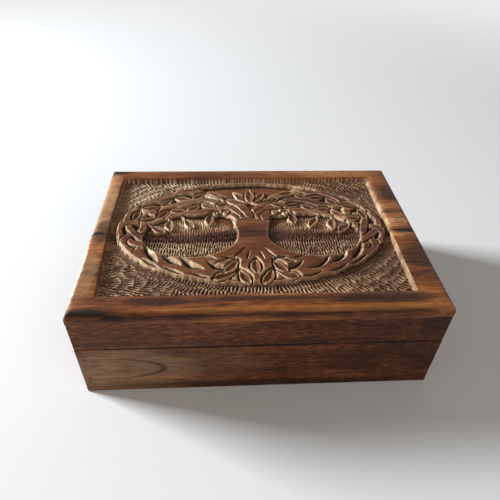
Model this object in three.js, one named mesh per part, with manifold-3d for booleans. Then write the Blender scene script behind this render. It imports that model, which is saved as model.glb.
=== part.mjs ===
// A hinged wooden box with a carved lid.
// The body is a frame of four boards on a bottom board. The lid is a shallower frame of four
// rails under two edge-glued planks, and a tree stands in relief in the sunk field of its top.
// Two small butt hinges are let into the back rims. Sizes are in millimetres, +Z is up, the
// front faces -Y, and the origin is the middle of the underside.
import * as THREE from 'three';
import { mergeVertices } from 'three/addons/utils/BufferGeometryUtils.js';
import Module from 'manifold-3d';

const wasm = await Module();
wasm.setup();

// Body
const boxLength = 254;
const boxWidth = 178;
const baseThick = 4.5;
const wallHeight = 43.5;
const wallThick = 9;

// Lid
const seamGap = 0.3; // open line between the two rims when the lid is down
const railHeight = 25.2;
const railThick = 9;
const plankThick = 9.5;
const edgeRound = 5;
const lidOpening = 100; // degrees, where the bevelled back arrises meet

// Joint between the two planks of the top
const jointY = -6;
const jointChamfer = 0.5;
const rearPlankInset = 0.6; // the rear plank stops short at the left end

// Sunk field, set by the border left round it and by how far its hand-cut sides lean and bow
const borderLeft = 15;
const borderRight = 20.5;
const borderFront = 16;
const borderRear = 16.5;
const leftLean = 2;
const rightLean = 1;
const leftBow = 2;
const carveDepth = 4.5;

// Tree: an oval left standing in the field, with a hollow on each side of the trunk
const ovalGapEnds = 2.5;
const ovalGapFront = 10;
const ovalGapRear = 5;
const trunkWaist = 25.5;
const sideDepth = 23.5; // width of the boughs between a hollow and the oval's end
const crownDepth = 51;
const rootDepth = 30;
const sideSlope = 1.7; // rise of the pared sides for each millimetre across
const treeDrop = 0.5; // how far the tree's flat top lies below the border
const rimBand = 2.9; // left flat inside the oval's edge
const hollowBank = 2.4; // left flat round each hollow
const trunkFlare = 6; // how much wider than its waist the trunk is at the crown, each side
const trunkReach = 5; // how far the trunk runs past the hollows into the crown
const rootsFrom = -30; // degrees round the ring, below which the boughs melt into the roots

// Boughs: they leave the top of the trunk side by side and are woven round each end of the oval.
// A share runs from 0 at the hollow to 1 at the oval's edge, and an angle from the oval's end.
const boughCount = 3;
const boughHalf = 2.4;
const boughSwell = 0.9; // how much wider they are in the crown, each side
const boughFoot = 0.3; // how far their sides run on below the floor
const boughMiddle = 0.52;
const boughSwing = 0.37;
const boughFrom = 88;
const boughTo = -60;
const weaveFrom = 40; // degrees, where the weaving starts, and how softly
const weaveEase = 8;
const weaveLength = 54;
const ripple = 0.035; // sideways play of the boughs in the crown, as a share
const rippleLength = 36;
const startOffset = 1.8; // from the middle of the trunk to the first bough
const startGap = 4.6;
const startStep = 1.5;
const seamWidth = 1.7; // cut beside the upper bough where two cross
const seamDepth = 1.8;
const seamLength = 10;

// Leaves
const leafVein = 1.9; // depth of the valley along a leaf
const leafMoat = 1.7; // cut round a leaf or berry that lies in flat wood
const crownLeaf = { length: 15, width: 6.4, top: 0.9, lean: 24, spacing: 13.5, from: 20, to: 92 };
const crownLanes = [0.345, 0.695];
const hangingLeaf = { length: 14.5, width: 7.6, top: 1.2, count: 4, from: 66, step: 13.7 };
const fanLeaf = { length: 21, width: 8.4, top: 0.7, count: 5, spread: 38, reach: 12.5, rise: 18 };
const berry = { radius: 3, count: 2, from: 20, step: 8.5, rise: 4.5 };

// Cuts in the roots
const rootCut = { length: 27, width: 7.6, depth: 4, count: 4, from: -36, step: 12.5, share: 0.5, lean: 27 };

// Hinges
const hingeSpread = 70; // from the middle of the box to the middle of a hinge
const hingeLength = 25;
const barrelRadius = 1.8;
const barrelInset = 0.2; // from the back face to the barrel
const boreRadius = 1;
const hingePinRadius = 0.85;
const knuckleGap = 0.2;
const leafWidth = 6.4; // from the pin's axis to the leaf's inner edge
const leafThick = 1;
const hingeClearance = 0.3;

// Hinge screws
const screwSpacing = 15;
const screwLength = 9;
const screwHeadRadius = 1.3;
const screwShankRadius = 0.75;
const screwHeadDepth = 0.6;
const screwClearance = 0.12;

// Panel pins that hold the frames and the bottom board together
const nailLength = 22;
const nailHeadRadius = 0.9;
const nailHeadDepth = 0.8;
const nailShankRadius = 0.55;
const nailClearance = 0.1;
const nailEdge = 11; // from a wall's edge to its nearest pin
const baseNailSpread = 60;

// Fineness of the round forms
const arcSteps = 6;
const ovalSteps = 40;
const boughSteps = 40;
const leafSteps = 4;
const cutSteps = 6;
const barrelSides = 12;
const screwSides = 10;
const nailSides = 8;

// Places worked out from the sizes above
const endX = boxLength / 2;
const backY = boxWidth / 2;
const rimZ = baseThick + wallHeight;
const hingeY = backY - barrelInset - barrelRadius;
const hingeZ = rimZ + seamGap / 2;
const lidTop = railHeight + plankThick; // above the lid's own underside
const spill = 1; // how far a cutter runs past the face that it opens

const frameWood = new THREE.MeshStandardMaterial({ color: 0x5b3823, roughness: 0.5, metalness: 0 });
const plankWood = new THREE.MeshStandardMaterial({ color: 0x7d4f2b, roughness: 0.45, metalness: 0 });
const brass = new THREE.MeshStandardMaterial({ color: 0xb3934a, roughness: 0.35, metalness: 1 });
const steel = new THREE.MeshStandardMaterial({ color: 0x55504a, roughness: 0.5, metalness: 1 });

// Solids and meshes

function solid(geometry) {
  geometry.deleteAttribute('normal');
  geometry.deleteAttribute('uv');
  const merged = mergeVertices(geometry);
  return new wasm.Manifold(new wasm.Mesh({
    numProp: 3,
    vertProperties: merged.attributes.position.array,
    triVerts: new Uint32Array(merged.index.array),
  }));
}

function joined(solids) {
  return wasm.Manifold.union(solids);
}

function mesh(name, body, material) {
  const { vertProperties, triVerts } = body.getMesh();
  const geometry = new THREE.BufferGeometry();
  geometry.setAttribute('position', new THREE.BufferAttribute(vertProperties, 3));
  geometry.setIndex(new THREE.BufferAttribute(triVerts, 1));
  geometry.computeVertexNormals();
  const named = new THREE.Mesh(geometry, material);
  named.name = name;
  return named;
}

// A block between two corners, whose faces lie exactly at the numbers given
function block(x0, x1, y0, y1, z0, z1) {
  const box = new THREE.BoxGeometry(1, 1, 1);
  const corners = box.attributes.position;
  for (let i = 0; i < corners.count; i += 1) {
    const x = corners.getX(i) < 0 ? x0 : x1;
    const y = corners.getY(i) < 0 ? y0 : y1;
    const z = corners.getZ(i) < 0 ? z0 : z1;
    corners.setXYZ(i, x, y, z);
  }
  return solid(box);
}

function extrusion(shape, depth) {
  return new THREE.ExtrudeGeometry(shape, { depth, bevelEnabled: false, curveSegments: arcSteps });
}

// A profile drawn in (y, z) and run along X
function alongX(profile, x0, x1) {
  const geometry = extrusion(profile, x1 - x0);
  const turn = new THREE.Matrix4();
  turn.makeBasis(new THREE.Vector3(0, 1, 0), new THREE.Vector3(0, 0, 1), new THREE.Vector3(1, 0, 0));
  geometry.applyMatrix4(turn);
  geometry.translate(x0, 0, 0);
  return solid(geometry);
}

// A profile drawn in (x, z) and run along Y
function alongY(profile, y0, y1) {
  const geometry = extrusion(profile, y1 - y0);
  geometry.rotateX(Math.PI / 2);
  geometry.translate(0, y1, 0);
  return solid(geometry);
}

// A turned piece on the Z axis, whose profile runs upwards as (radius, height) points
function turned(points, sides) {
  const profile = points.map(([radius, height]) => new THREE.Vector2(radius, height));
  return new THREE.LatheGeometry(profile, sides).rotateX(Math.PI / 2);
}

// A round bar along X
function bar(radius, x0, x1) {
  const geometry = new THREE.CylinderGeometry(radius, radius, x1 - x0, barrelSides);
  geometry.rotateZ(Math.PI / 2);
  geometry.translate((x0 + x1) / 2, 0, 0);
  return solid(geometry);
}

// Body boards

function bodyBoards() {
  const innerX = endX - wallThick;
  const innerY = backY - wallThick;
  return {
    bottom_board: block(-endX, endX, -backY, backY, 0, baseThick),
    body_front_wall: block(-endX, endX, -backY, -innerY, baseThick, rimZ),
    body_back_wall: block(-endX, endX, innerY, backY, baseThick, rimZ),
    body_left_wall: block(-endX, -innerX, -innerY, innerY, baseThick, rimZ),
    body_right_wall: block(innerX, endX, -innerY, innerY, baseThick, rimZ),
  };
}

// Lid boards, in the lid's own frame, whose origin is the middle of its underside

function lidRails() {
  const innerX = endX - railThick;
  const innerY = backY - railThick;
  return {
    lid_front_rail: block(-endX, endX, -backY, -innerY, 0, railHeight),
    lid_back_rail: block(-endX, endX, innerY, backY, 0, railHeight),
    lid_left_rail: block(-endX, -innerX, -innerY, innerY, 0, railHeight),
    lid_right_rail: block(innerX, endX, -innerY, innerY, 0, railHeight),
  };
}

function roundedProfile(low, high) {
  const radius = Math.min(edgeRound, 0.9 * plankThick);
  const shape = new THREE.Shape();
  shape.moveTo(low, railHeight);
  shape.lineTo(high, railHeight);
  shape.absarc(high - radius, lidTop - radius, radius, 0, Math.PI / 2);
  shape.absarc(low + radius, lidTop - radius, radius, Math.PI / 2, Math.PI);
  shape.closePath();
  return shape;
}

// The top board with its rounded edges, from x0 to x1
function topBoard(x0, x1) {
  const acrossWidth = alongX(roundedProfile(-backY, backY), x0, x1);
  const acrossLength = alongY(roundedProfile(x0, x1), -backY, backY);
  return acrossWidth.intersect(acrossLength);
}

// The sunk field with its leaning and bowed sides
function fieldOutline() {
  const left = -endX + borderLeft;
  const right = endX - borderRight;
  const front = -backY + borderFront;
  const rear = backY - borderRear;
  const shape = new THREE.Shape();
  shape.moveTo(left + leftLean, front);
  shape.lineTo(right - rightLean, front);
  shape.lineTo(right + rightLean, rear);
  shape.lineTo(left - leftLean, rear);
  shape.quadraticCurveTo(left - 2 * leftBow, (front + rear) / 2, left + leftLean, front);
  return { shape, left, right, front, rear };
}

// The oval of the tree, its two hollows and the ring between them. The ring is drawn for the
// right side, with x counted from the middle of the trunk, and mirrored for the left one.
function treeLayout(field) {
  const halfLength = (field.right - field.left) / 2 - ovalGapEnds;
  const halfWidth = (field.rear - ovalGapRear - field.front - ovalGapFront) / 2;
  const y = (field.front + ovalGapFront + field.rear - ovalGapRear) / 2;
  return {
    x: (field.left + field.right) / 2,
    y,
    halfLength,
    halfWidth,
    hollowX: trunkWaist / 2 + (halfLength - sideDepth - trunkWaist / 2) / 2,
    hollowY: y + (rootDepth - crownDepth) / 2,
    hollowLength: (halfLength - sideDepth - trunkWaist / 2) / 2,
    hollowWidth: halfWidth - (crownDepth + rootDepth) / 2,
  };
}

function ringPoint(tree, angle, share) {
  const turn = THREE.MathUtils.degToRad(angle);
  const innerLength = tree.halfLength - sideDepth;
  const inner = new THREE.Vector2(innerLength * Math.cos(turn), tree.hollowY + tree.hollowWidth * Math.sin(turn));
  const outer = new THREE.Vector2(tree.halfLength * Math.cos(turn), tree.y + tree.halfWidth * Math.sin(turn));
  return inner.lerp(outer, share);
}

// Stations along one side of the ring: the angle, the length run and how far the weave has turned
function ringStations(tree) {
  const stations = [];
  let last = ringPoint(tree, boughFrom, boughMiddle);
  let run = 0;
  let turn = 0;
  for (let i = 0; i <= boughSteps; i += 1) {
    const angle = THREE.MathUtils.lerp(boughFrom, boughTo, i / boughSteps);
    const point = ringPoint(tree, angle, boughMiddle);
    const woven = 1 - THREE.MathUtils.smoothstep(angle, weaveFrom - weaveEase, weaveFrom + weaveEase);
    const step = point.distanceTo(last);
    run += step;
    turn += (2 * Math.PI * step * woven) / weaveLength;
    stations.push({ angle, run, turn, woven });
    last = point;
  }
  return stations;
}

// The middle line of one bough, with its half width and its height in the weave
function boughLine(tree, side, number) {
  const phase = (side > 0 ? 0 : Math.PI / boughCount) + (2 * Math.PI * number) / boughCount;
  const rank = Math.round(1 - Math.sin(phase) / Math.sin(Math.PI / boughCount));
  const startX = startOffset + startGap * rank;
  const startY = tree.hollowY + tree.hollowWidth - startStep * rank;
  return ringStations(tree).map(({ angle, run, turn, woven }) => {
    const wave = Math.sin((2 * Math.PI * run) / rippleLength + 2 * number + side);
    const share = boughMiddle + boughSwing * Math.sin(turn + phase) + ripple * wave * (1 - woven);
    const point = ringPoint(tree, angle, share);
    point.lerp(new THREE.Vector2(startX, startY), THREE.MathUtils.smoothstep(angle, 60, 88));
    return {
      x: tree.x + side * point.x,
      y: point.y,
      half: boughHalf + boughSwell * THREE.MathUtils.smoothstep(angle, 15, 60),
      height: Math.sin(2 * (turn + phase)),
      angle,
      share,
    };
  });
}

// A closed body through sections that all have the same number of points
function loft(sections) {
  const size = sections[0].length;
  const last = (sections.length - 1) * size;
  const faces = [];
  for (let i = 0; i < last; i += size) {
    for (let j = 0; j < size; j += 1) {
      const next = (j + 1) % size;
      faces.push(i + j, i + size + next, i + next, i + j, i + size + j, i + size + next);
    }
  }
  for (let j = 1; j < size - 1; j += 1) {
    faces.push(0, j, j + 1, last, last + j + 1, last + j);
  }
  const geometry = new THREE.BufferGeometry().setFromPoints(sections.flat());
  geometry.setIndex(faces);
  return solid(geometry);
}

// A bough: a flat top with pared sides that run down into the bed
function boughLand(line) {
  const low = lidTop - carveDepth - boughFoot;
  const high = lidTop - treeDrop;
  const slope = (high - low) / sideSlope;
  return loft(line.map(({ x, y, half }, i) => {
    const before = line[Math.max(i - 1, 0)];
    const after = line[Math.min(i + 1, line.length - 1)];
    const across = new THREE.Vector2(before.y - after.y, after.x - before.x).normalize();
    const corner = (out, z) => new THREE.Vector3(x + out * across.x, y + out * across.y, z);
    return [corner(half + slope, low), corner(-half - slope, low), corner(-half, high), corner(half, high)];
  }));
}

// A flat outline standing on the floor of the field, with pared sides round its top
function standing(shape) {
  const height = carveDepth - treeDrop;
  const geometry = new THREE.ExtrudeGeometry(shape, {
    depth: spill,
    curveSegments: ovalSteps,
    bevelSize: height / sideSlope,
    bevelThickness: height,
    bevelSegments: 1,
  });
  geometry.translate(0, 0, lidTop - carveDepth - spill);
  return solid(geometry);
}

function ellipse(kind, x, y, halfLength, halfWidth) {
  const outline = new kind();
  outline.absellipse(x, y, halfLength, halfWidth, 0, 2 * Math.PI);
  return outline;
}

// The whole oval left standing, with the two hollows cut through it
function ovalLand(tree) {
  const slope = (carveDepth - treeDrop) / sideSlope;
  const shape = ellipse(THREE.Shape, tree.x, tree.y, tree.halfLength - slope, tree.halfWidth - slope);
  for (const side of [-1, 1]) {
    const x = tree.x + side * tree.hollowX;
    shape.holes.push(ellipse(THREE.Path, x, tree.hollowY, tree.hollowLength + slope, tree.hollowWidth + slope));
  }
  return standing(shape);
}

// The band just inside the oval's edge
function rimLand(tree) {
  const shape = ellipse(THREE.Shape, tree.x, tree.y, tree.halfLength, tree.halfWidth);
  const hole = ellipse(THREE.Path, tree.x, tree.y, tree.halfLength - rimBand, tree.halfWidth - rimBand);
  shape.holes.push(hole);
  return standing(shape);
}

function bankLand(tree, side) {
  const x = tree.x + side * tree.hollowX;
  const halfLength = tree.hollowLength + hollowBank;
  return standing(ellipse(THREE.Shape, x, tree.hollowY, halfLength, tree.hollowWidth + hollowBank));
}

// The trunk, and the roots below a line that falls from the trunk's middle to both sides
function trunkAndRootLand(tree) {
  const half = trunkWaist / 2 + trunkFlare;
  const fall = Math.tan(THREE.MathUtils.degToRad(-rootsFrom)) * tree.hollowWidth;
  const shoulder = tree.hollowY - (fall * half) / (tree.halfLength - sideDepth);
  const end = tree.hollowY - (fall * tree.halfLength) / (tree.halfLength - sideDepth);
  const top = tree.hollowY + tree.hollowWidth + trunkReach;
  const foot = tree.y - tree.halfWidth;
  return standing(new THREE.Shape([
    new THREE.Vector2(tree.x + half, top),
    new THREE.Vector2(tree.x - half, top),
    new THREE.Vector2(tree.x - half, shoulder),
    new THREE.Vector2(tree.x - tree.halfLength, end),
    new THREE.Vector2(tree.x - tree.halfLength, foot),
    new THREE.Vector2(tree.x + tree.halfLength, foot),
    new THREE.Vector2(tree.x + tree.halfLength, end),
    new THREE.Vector2(tree.x + half, shoulder),
  ]));
}

// A spindle-shaped cut with two sloping sides, its middle line at the level of the top
function spindle({ x, y, turn, length, width, depth, top }) {
  const profile = [];
  for (let i = 0; i <= cutSteps; i += 1) {
    const along = (2 * i) / cutSteps - 1;
    profile.push(new THREE.Vector2(i % cutSteps ? 1 - along * along : 0, (along * length) / 2));
  }
  const geometry = new THREE.LatheGeometry(profile, 4).rotateZ(-Math.PI / 2);
  geometry.scale(1, width / 2, depth);
  geometry.rotateZ(turn);
  geometry.translate(x, y, lidTop - top);
  return solid(geometry);
}

// The two cuts beside the upper bough at each place where two boughs cross
function crossingSeams(lines) {
  const seams = [];
  for (const [a, b] of [[0, 1], [1, 2], [2, 0]]) {
    for (let i = 1; i < lines[a].length - 1; i += 1) {
      const before = lines[a][i - 1].share - lines[b][i - 1].share;
      const now = lines[a][i].share - lines[b][i].share;
      if (before * now > 0 || lines[a][i].angle < rootsFrom) continue;
      const upper = lines[a][i].height > lines[b][i].height ? lines[a] : lines[b];
      const turn = Math.atan2(upper[i + 1].y - upper[i - 1].y, upper[i + 1].x - upper[i - 1].x);
      for (const way of [-1, 1]) {
        const offset = way * (upper[i].half + seamWidth / 2);
        seams.push(spindle({
          x: upper[i].x - offset * Math.sin(turn),
          y: upper[i].y + offset * Math.cos(turn),
          turn,
          length: seamLength,
          width: seamWidth,
          depth: seamDepth,
          top: treeDrop,
        }));
      }
    }
  }
  return seams;
}

// The place on the ring and its direction, from the crown towards the roots
function ringSpot(tree, side, angle, share) {
  const spot = ringPoint(tree, angle, share);
  const way = ringPoint(tree, angle - 1, share).sub(ringPoint(tree, angle + 1, share));
  return { x: tree.x + side * spot.x, y: spot.y, turn: Math.atan2(way.y, side * way.x) };
}

function leafShape(length, width) {
  const shape = new THREE.Shape();
  shape.moveTo(-length / 2, 0);
  shape.quadraticCurveTo(0, width, length / 2, 0);
  shape.quadraticCurveTo(0, -width, -length / 2, 0);
  return shape;
}

// A leaf's outline made wider by room, from the field's floor up to its top
function leafBody({ x, y, turn, length, width, top }, room) {
  const depth = carveDepth - top + spill;
  const geometry = new THREE.ExtrudeGeometry(leafShape(length + 2 * room, width + 2 * room), {
    depth,
    bevelEnabled: false,
    curveSegments: leafSteps,
  });
  geometry.rotateZ(turn);
  geometry.translate(x, y, lidTop - top - depth);
  return solid(geometry);
}

function leafSolid(leaf) {
  return leafBody(leaf, 0).subtract(spindle({ ...leaf, width: 0.9 * leaf.width, depth: leafVein }));
}

// Cutter that frees a leaf lying in flat wood
function leafPit(leaf) {
  return leafBody({ ...leaf, top: -spill }, leafMoat).intersect(aboveFloor(0));
}

// Everything above a plane that lies the given depth below the floor of the field
function aboveFloor(depth) {
  return block(-endX, endX, -backY, backY, lidTop - carveDepth - depth, lidTop + 2 * spill);
}

// The angle at which the ring has run a given length
function angleAt(stations, run) {
  const next = stations.findIndex((station) => station.run > run);
  const before = stations[next - 1];
  const after = stations[next];
  const share = (run - before.run) / (after.run - before.run);
  return THREE.MathUtils.lerp(before.angle, after.angle, share);
}

function crownLeaves(tree) {
  const stations = ringStations(tree);
  const leaves = [];
  for (const side of [-1, 1]) {
    crownLanes.forEach((share, lane) => {
      for (let number = 0; ; number += 1) {
        const run = crownLeaf.from + 5 * lane + number * crownLeaf.spacing;
        if (run > crownLeaf.to + 5 * lane) break;
        const spot = ringSpot(tree, side, angleAt(stations, run), share);
        const lean = THREE.MathUtils.degToRad(crownLeaf.lean) * ((number + lane) % 2 ? 1 : -1);
        leaves.push({ ...crownLeaf, x: spot.x, y: spot.y, turn: spot.turn + side * lean });
      }
    });
  }
  return leaves;
}

// Leaves that hang from the crown into the hollows
function hangingLeaves(tree) {
  const leaves = [];
  for (const side of [-1, 1]) {
    for (let number = 0; number < hangingLeaf.count; number += 1) {
      const inwards = -0.03 - 0.05 * (number % 2);
      const lean = THREE.MathUtils.degToRad(12 - 34 * (number % 2));
      const spot = ringSpot(tree, side, hangingLeaf.from - hangingLeaf.step * number, inwards);
      leaves.push({ ...hangingLeaf, x: spot.x, y: spot.y, turn: spot.turn + side * (Math.PI / 2 + lean) });
    }
  }
  return leaves;
}

// A fan of leaves above the trunk
function fanLeaves(tree) {
  const leaves = [];
  for (let number = 0; number < fanLeaf.count; number += 1) {
    const lean = fanLeaf.spread * (number - (fanLeaf.count - 1) / 2);
    const turn = THREE.MathUtils.degToRad(90 + lean);
    leaves.push({
      ...fanLeaf,
      x: tree.x + fanLeaf.reach * Math.cos(turn),
      y: tree.hollowY + tree.hollowWidth + fanLeaf.rise + fanLeaf.reach * Math.sin(turn),
      turn,
    });
  }
  return leaves;
}

// Leaves heaped below the trunk: one upright in the middle and three pairs beside it
function footLeaves(tree) {
  const top = tree.hollowY - tree.hollowWidth;
  const upright = { x: tree.x, y: top - 11.5, turn: Math.PI / 2, length: 15, width: 8, top: treeDrop };
  const pairs = [
    { out: 22, down: 20.5, lean: 66, length: 18 },
    { out: 8.5, down: 22, lean: -28, length: 16 },
    { out: 17, down: 11.5, lean: 38, length: 16 },
  ];
  const leaves = [upright];
  for (const { out, down, lean, length } of pairs) {
    for (const side of [-1, 1]) {
      const turn = THREE.MathUtils.degToRad(90 + side * lean);
      leaves.push({ x: tree.x + side * out, y: top - down, turn, length, width: 7.4, top: treeDrop });
    }
  }
  return leaves;
}

function berrySpots(tree) {
  const spots = [];
  for (const side of [-1, 1]) {
    for (let number = 0; number < berry.count; number += 1) {
      const x = tree.x + side * (berry.from + berry.step * number);
      spots.push({ x, y: tree.hollowY + tree.hollowWidth + berry.rise - 1.5 * number });
    }
  }
  return spots;
}

// A round stub from the field's floor, narrower at its top
function stub({ x, y }, low, high, drop) {
  const height = carveDepth - drop;
  const geometry = new THREE.CylinderGeometry(high, low, height, nailSides).rotateX(Math.PI / 2);
  geometry.translate(x, y, lidTop - drop - height / 2);
  return solid(geometry);
}

function rootCuts(tree) {
  const cuts = [];
  for (const side of [-1, 1]) {
    for (let number = 0; number < rootCut.count; number += 1) {
      const angle = rootCut.from - rootCut.step * number;
      const spot = ringSpot(tree, side, angle, rootCut.share - 0.06 * (number % 2));
      const lean = THREE.MathUtils.degToRad(rootCut.lean - 3 * number);
      cuts.push(spindle({ ...rootCut, x: spot.x, y: spot.y, turn: spot.turn + side * lean, top: treeDrop }));
    }
  }
  return cuts;
}

function carvedTree(field) {
  const tree = treeLayout(field);
  const boughs = [-1, 1].map((side) => [...Array(boughCount).keys()].map((n) => boughLine(tree, side, n)));
  const lands = [rimLand(tree), bankLand(tree, -1), bankLand(tree, 1), trunkAndRootLand(tree)];
  lands.push(...boughs.flat().map(boughLand));
  const feet = footLeaves(tree);
  const berries = berrySpots(tree);
  const pits = feet.map(leafPit);
  pits.push(...berries.map((spot) => stub(spot, berry.radius + leafMoat, berry.radius + leafMoat, -spill)));
  const cuts = [...boughs.flatMap(crossingSeams), ...rootCuts(tree)];
  const mass = joined(lands).intersect(ovalLand(tree)).intersect(aboveFloor(spill));
  const land = mass.subtract(joined(pits)).subtract(joined(cuts));
  const leaves = [...crownLeaves(tree), ...hangingLeaves(tree), ...fanLeaves(tree), ...feet].map(leafSolid);
  const round = berries.map((spot) => stub(spot, berry.radius, 0.6 * berry.radius, treeDrop));
  return joined([land, ...leaves, ...round]);
}

function jointGroove() {
  const shape = new THREE.Shape();
  shape.moveTo(jointY, lidTop - jointChamfer);
  shape.lineTo(jointY + jointChamfer + spill, lidTop + spill);
  shape.lineTo(jointY - jointChamfer - spill, lidTop + spill);
  shape.closePath();
  return alongX(shape, -endX - spill, endX + spill);
}

function lidPlanks() {
  const field = fieldOutline();
  const pocketGeometry = extrusion(field.shape, carveDepth + spill);
  pocketGeometry.translate(0, 0, lidTop - carveDepth);
  const pocket = solid(pocketGeometry);
  const tree = carvedTree(field);
  const groove = jointGroove();
  const plank = (x0, y0, y1) => {
    const half = block(x0 - spill, endX + spill, y0, y1, railHeight - spill, lidTop + spill);
    return topBoard(x0, endX).subtract(pocket).add(tree).subtract(groove).intersect(half);
  };
  return {
    lid_front_plank: plank(-endX, -backY - spill, jointY),
    lid_rear_plank: plank(-endX + rearPlankInset, jointY, backY + spill),
  };
}

// Back arrises, bevelled from the hinge line outwards so that they meet when the lid is open.
// The rim lies at rim, and the wood goes away from the seam in the direction of side.
function backBevel(rim, side) {
  const drop = (backY + spill - hingeY) * Math.tan(THREE.MathUtils.degToRad(lidOpening / 2));
  const points = [
    new THREE.Vector2(hingeY, rim),
    new THREE.Vector2(hingeY, rim - side * spill),
    new THREE.Vector2(backY + spill, rim - side * spill),
    new THREE.Vector2(backY + spill, rim + side * drop),
  ];
  return alongX(new THREE.Shape(points), -endX - spill, endX + spill);
}

// Hinges. Every hinge piece is drawn with the pin's axis at the origin: the body's leaf lies
// below the axis and the lid's leaf above it.

const hingePlaces = [['left', -hingeSpread], ['right', hingeSpread]];
const screwX = screwSpacing / 2;
const screwY = -(barrelRadius + hingeClearance + leafWidth) / 2;
const middleKnuckle = (hingeLength - 2 * knuckleGap) / 6; // half the length of one knuckle

// Level of the leaf's face at the seam and of its face in the wood, for the body (-1) or lid (1)
function leafLevels(side) {
  const face = side * (seamGap / 2);
  const back = face + side * leafThick;
  return { face, back, low: Math.min(face, back), high: Math.max(face, back) };
}

function hingeLeaf(side, ownKnuckles, otherKnuckles) {
  const { low, high } = leafLevels(side);
  let leaf = block(-hingeLength / 2, hingeLength / 2, -leafWidth, 0, low, high);
  for (const [x0, x1] of otherKnuckles) {
    leaf = leaf.subtract(bar(barrelRadius + hingeClearance, x0 - knuckleGap, x1 + knuckleGap));
  }
  for (const [x0, x1] of ownKnuckles) {
    leaf = leaf.add(bar(barrelRadius, x0, x1));
  }
  leaf = leaf.subtract(bar(boreRadius, -hingeLength, hingeLength));
  for (const x of [-screwX, screwX]) {
    leaf = leaf.subtract(screwCutter(side).translate([x, screwY, 0]));
  }
  return leaf;
}

function hingePieces() {
  const end = hingeLength / 2;
  const outer = [[-end, -middleKnuckle - knuckleGap], [middleKnuckle + knuckleGap, end]];
  const inner = [[-middleKnuckle, middleKnuckle]];
  return {
    bodyLeaf: hingeLeaf(-1, outer, inner),
    lidLeaf: hingeLeaf(1, inner, outer),
    pin: bar(hingePinRadius, -end + knuckleGap, end - knuckleGap),
  };
}

// The wood that one leaf and the barrel need, about the pin's axis
function hingeMortise(side) {
  const { low, high } = leafLevels(side);
  const reach = hingeLength / 2 + hingeClearance;
  const openLow = side > 0 ? low - spill : low;
  const openHigh = side > 0 ? high : high + spill;
  const leafRoom = block(-reach, reach, -leafWidth - hingeClearance, backY, openLow, openHigh);
  return leafRoom.add(bar(barrelRadius + hingeClearance, -reach, reach));
}

// A countersunk screw, head up at height zero. Room widens it and lengthens it for its hole.
function screwProfile(room) {
  return [
    [0, -screwLength - room],
    [screwShankRadius + room, -screwLength - room],
    [screwShankRadius + room, -screwHeadDepth],
    [screwHeadRadius + room, room],
    [0, room],
  ];
}

// The hole for a screw that goes down into the body (-1) or up into the lid (1)
function screwCutter(side) {
  const geometry = turned(screwProfile(screwClearance), screwSides);
  if (side > 0) geometry.rotateX(Math.PI);
  geometry.translate(0, 0, leafLevels(side).face);
  return solid(geometry);
}

function cutHingeSeats(wood) {
  for (const [, x] of hingePlaces) {
    const lidAxis = [x, hingeY, hingeZ - rimZ - seamGap];
    wood.body_back_wall = wood.body_back_wall.subtract(hingeMortise(-1).translate([x, hingeY, hingeZ]));
    wood.lid_back_rail = wood.lid_back_rail.subtract(hingeMortise(1).translate(lidAxis));
    for (const dx of [-screwX, screwX]) {
      const bodySpot = [x + dx, hingeY + screwY, hingeZ];
      const lidSpot = [x + dx, hingeY + screwY, lidAxis[2]];
      wood.body_back_wall = wood.body_back_wall.subtract(screwCutter(-1).translate(bodySpot));
      wood.lid_back_rail = wood.lid_back_rail.subtract(screwCutter(1).translate(lidSpot));
    }
  }
}

// Panel pins: each has a place for its head, the way it is driven and the boards it holds

function nailProfile(room) {
  return [
    [0, -nailLength - room],
    [nailShankRadius + room, -nailLength - room],
    [nailShankRadius + room, -nailHeadDepth - room],
    [nailHeadRadius + room, -nailHeadDepth - room],
    [nailHeadRadius + room, room],
    [0, room],
  ];
}

function nailTurn(way) {
  return new THREE.Quaternion().setFromUnitVectors(new THREE.Vector3(0, 0, -1), way);
}

function nailCutter({ at, way }) {
  const geometry = turned(nailProfile(nailClearance), nailSides);
  geometry.applyQuaternion(nailTurn(way));
  geometry.translate(at.x, at.y, at.z);
  return solid(geometry);
}

const sides = [['left', -1], ['right', 1]];
const faces = [['front', -1], ['back', 1]];

// The pins that hold one frame's corners, at the heights given
function cornerNails(frame, part, thick, heights) {
  const nails = [];
  for (const [faceName, face] of faces) {
    for (const [sideName, side] of sides) {
      for (const [level, z] of heights) {
        nails.push({
          name: [frame, 'pin', faceName, sideName, level].filter(Boolean).join('_'),
          at: new THREE.Vector3(side * (endX - thick / 2), face * backY, z),
          way: new THREE.Vector3(0, -face, 0),
          through: [`${frame}_${faceName}_${part}`, `${frame}_${sideName}_${part}`],
        });
      }
    }
  }
  return nails;
}

function baseNails() {
  const up = new THREE.Vector3(0, 0, 1);
  const nails = [];
  for (const [faceName, face] of faces) {
    for (const [sideName, side] of sides) {
      nails.push({
        name: `base_pin_${faceName}_${sideName}`,
        at: new THREE.Vector3(side * baseNailSpread, face * (backY - wallThick / 2), 0),
        way: up,
        through: ['bottom_board', `body_${faceName}_wall`],
      });
    }
  }
  for (const [sideName, side] of sides) {
    nails.push({
      name: `base_pin_${sideName}`,
      at: new THREE.Vector3(side * (endX - wallThick / 2), 0, 0),
      way: up,
      through: ['bottom_board', `body_${sideName}_wall`],
    });
  }
  return nails;
}

function driveNails(nails, wood) {
  for (const nail of nails) {
    const cutter = nailCutter(nail);
    for (const board of nail.through) {
      wood[board] = wood[board].subtract(cutter);
    }
  }
}

// The box put together

const wood = { ...bodyBoards(), ...lidRails(), ...lidPlanks() };
wood.body_back_wall = wood.body_back_wall.subtract(backBevel(rimZ, -1));
wood.lid_back_rail = wood.lid_back_rail.subtract(backBevel(0, 1));
cutHingeSeats(wood);

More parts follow.
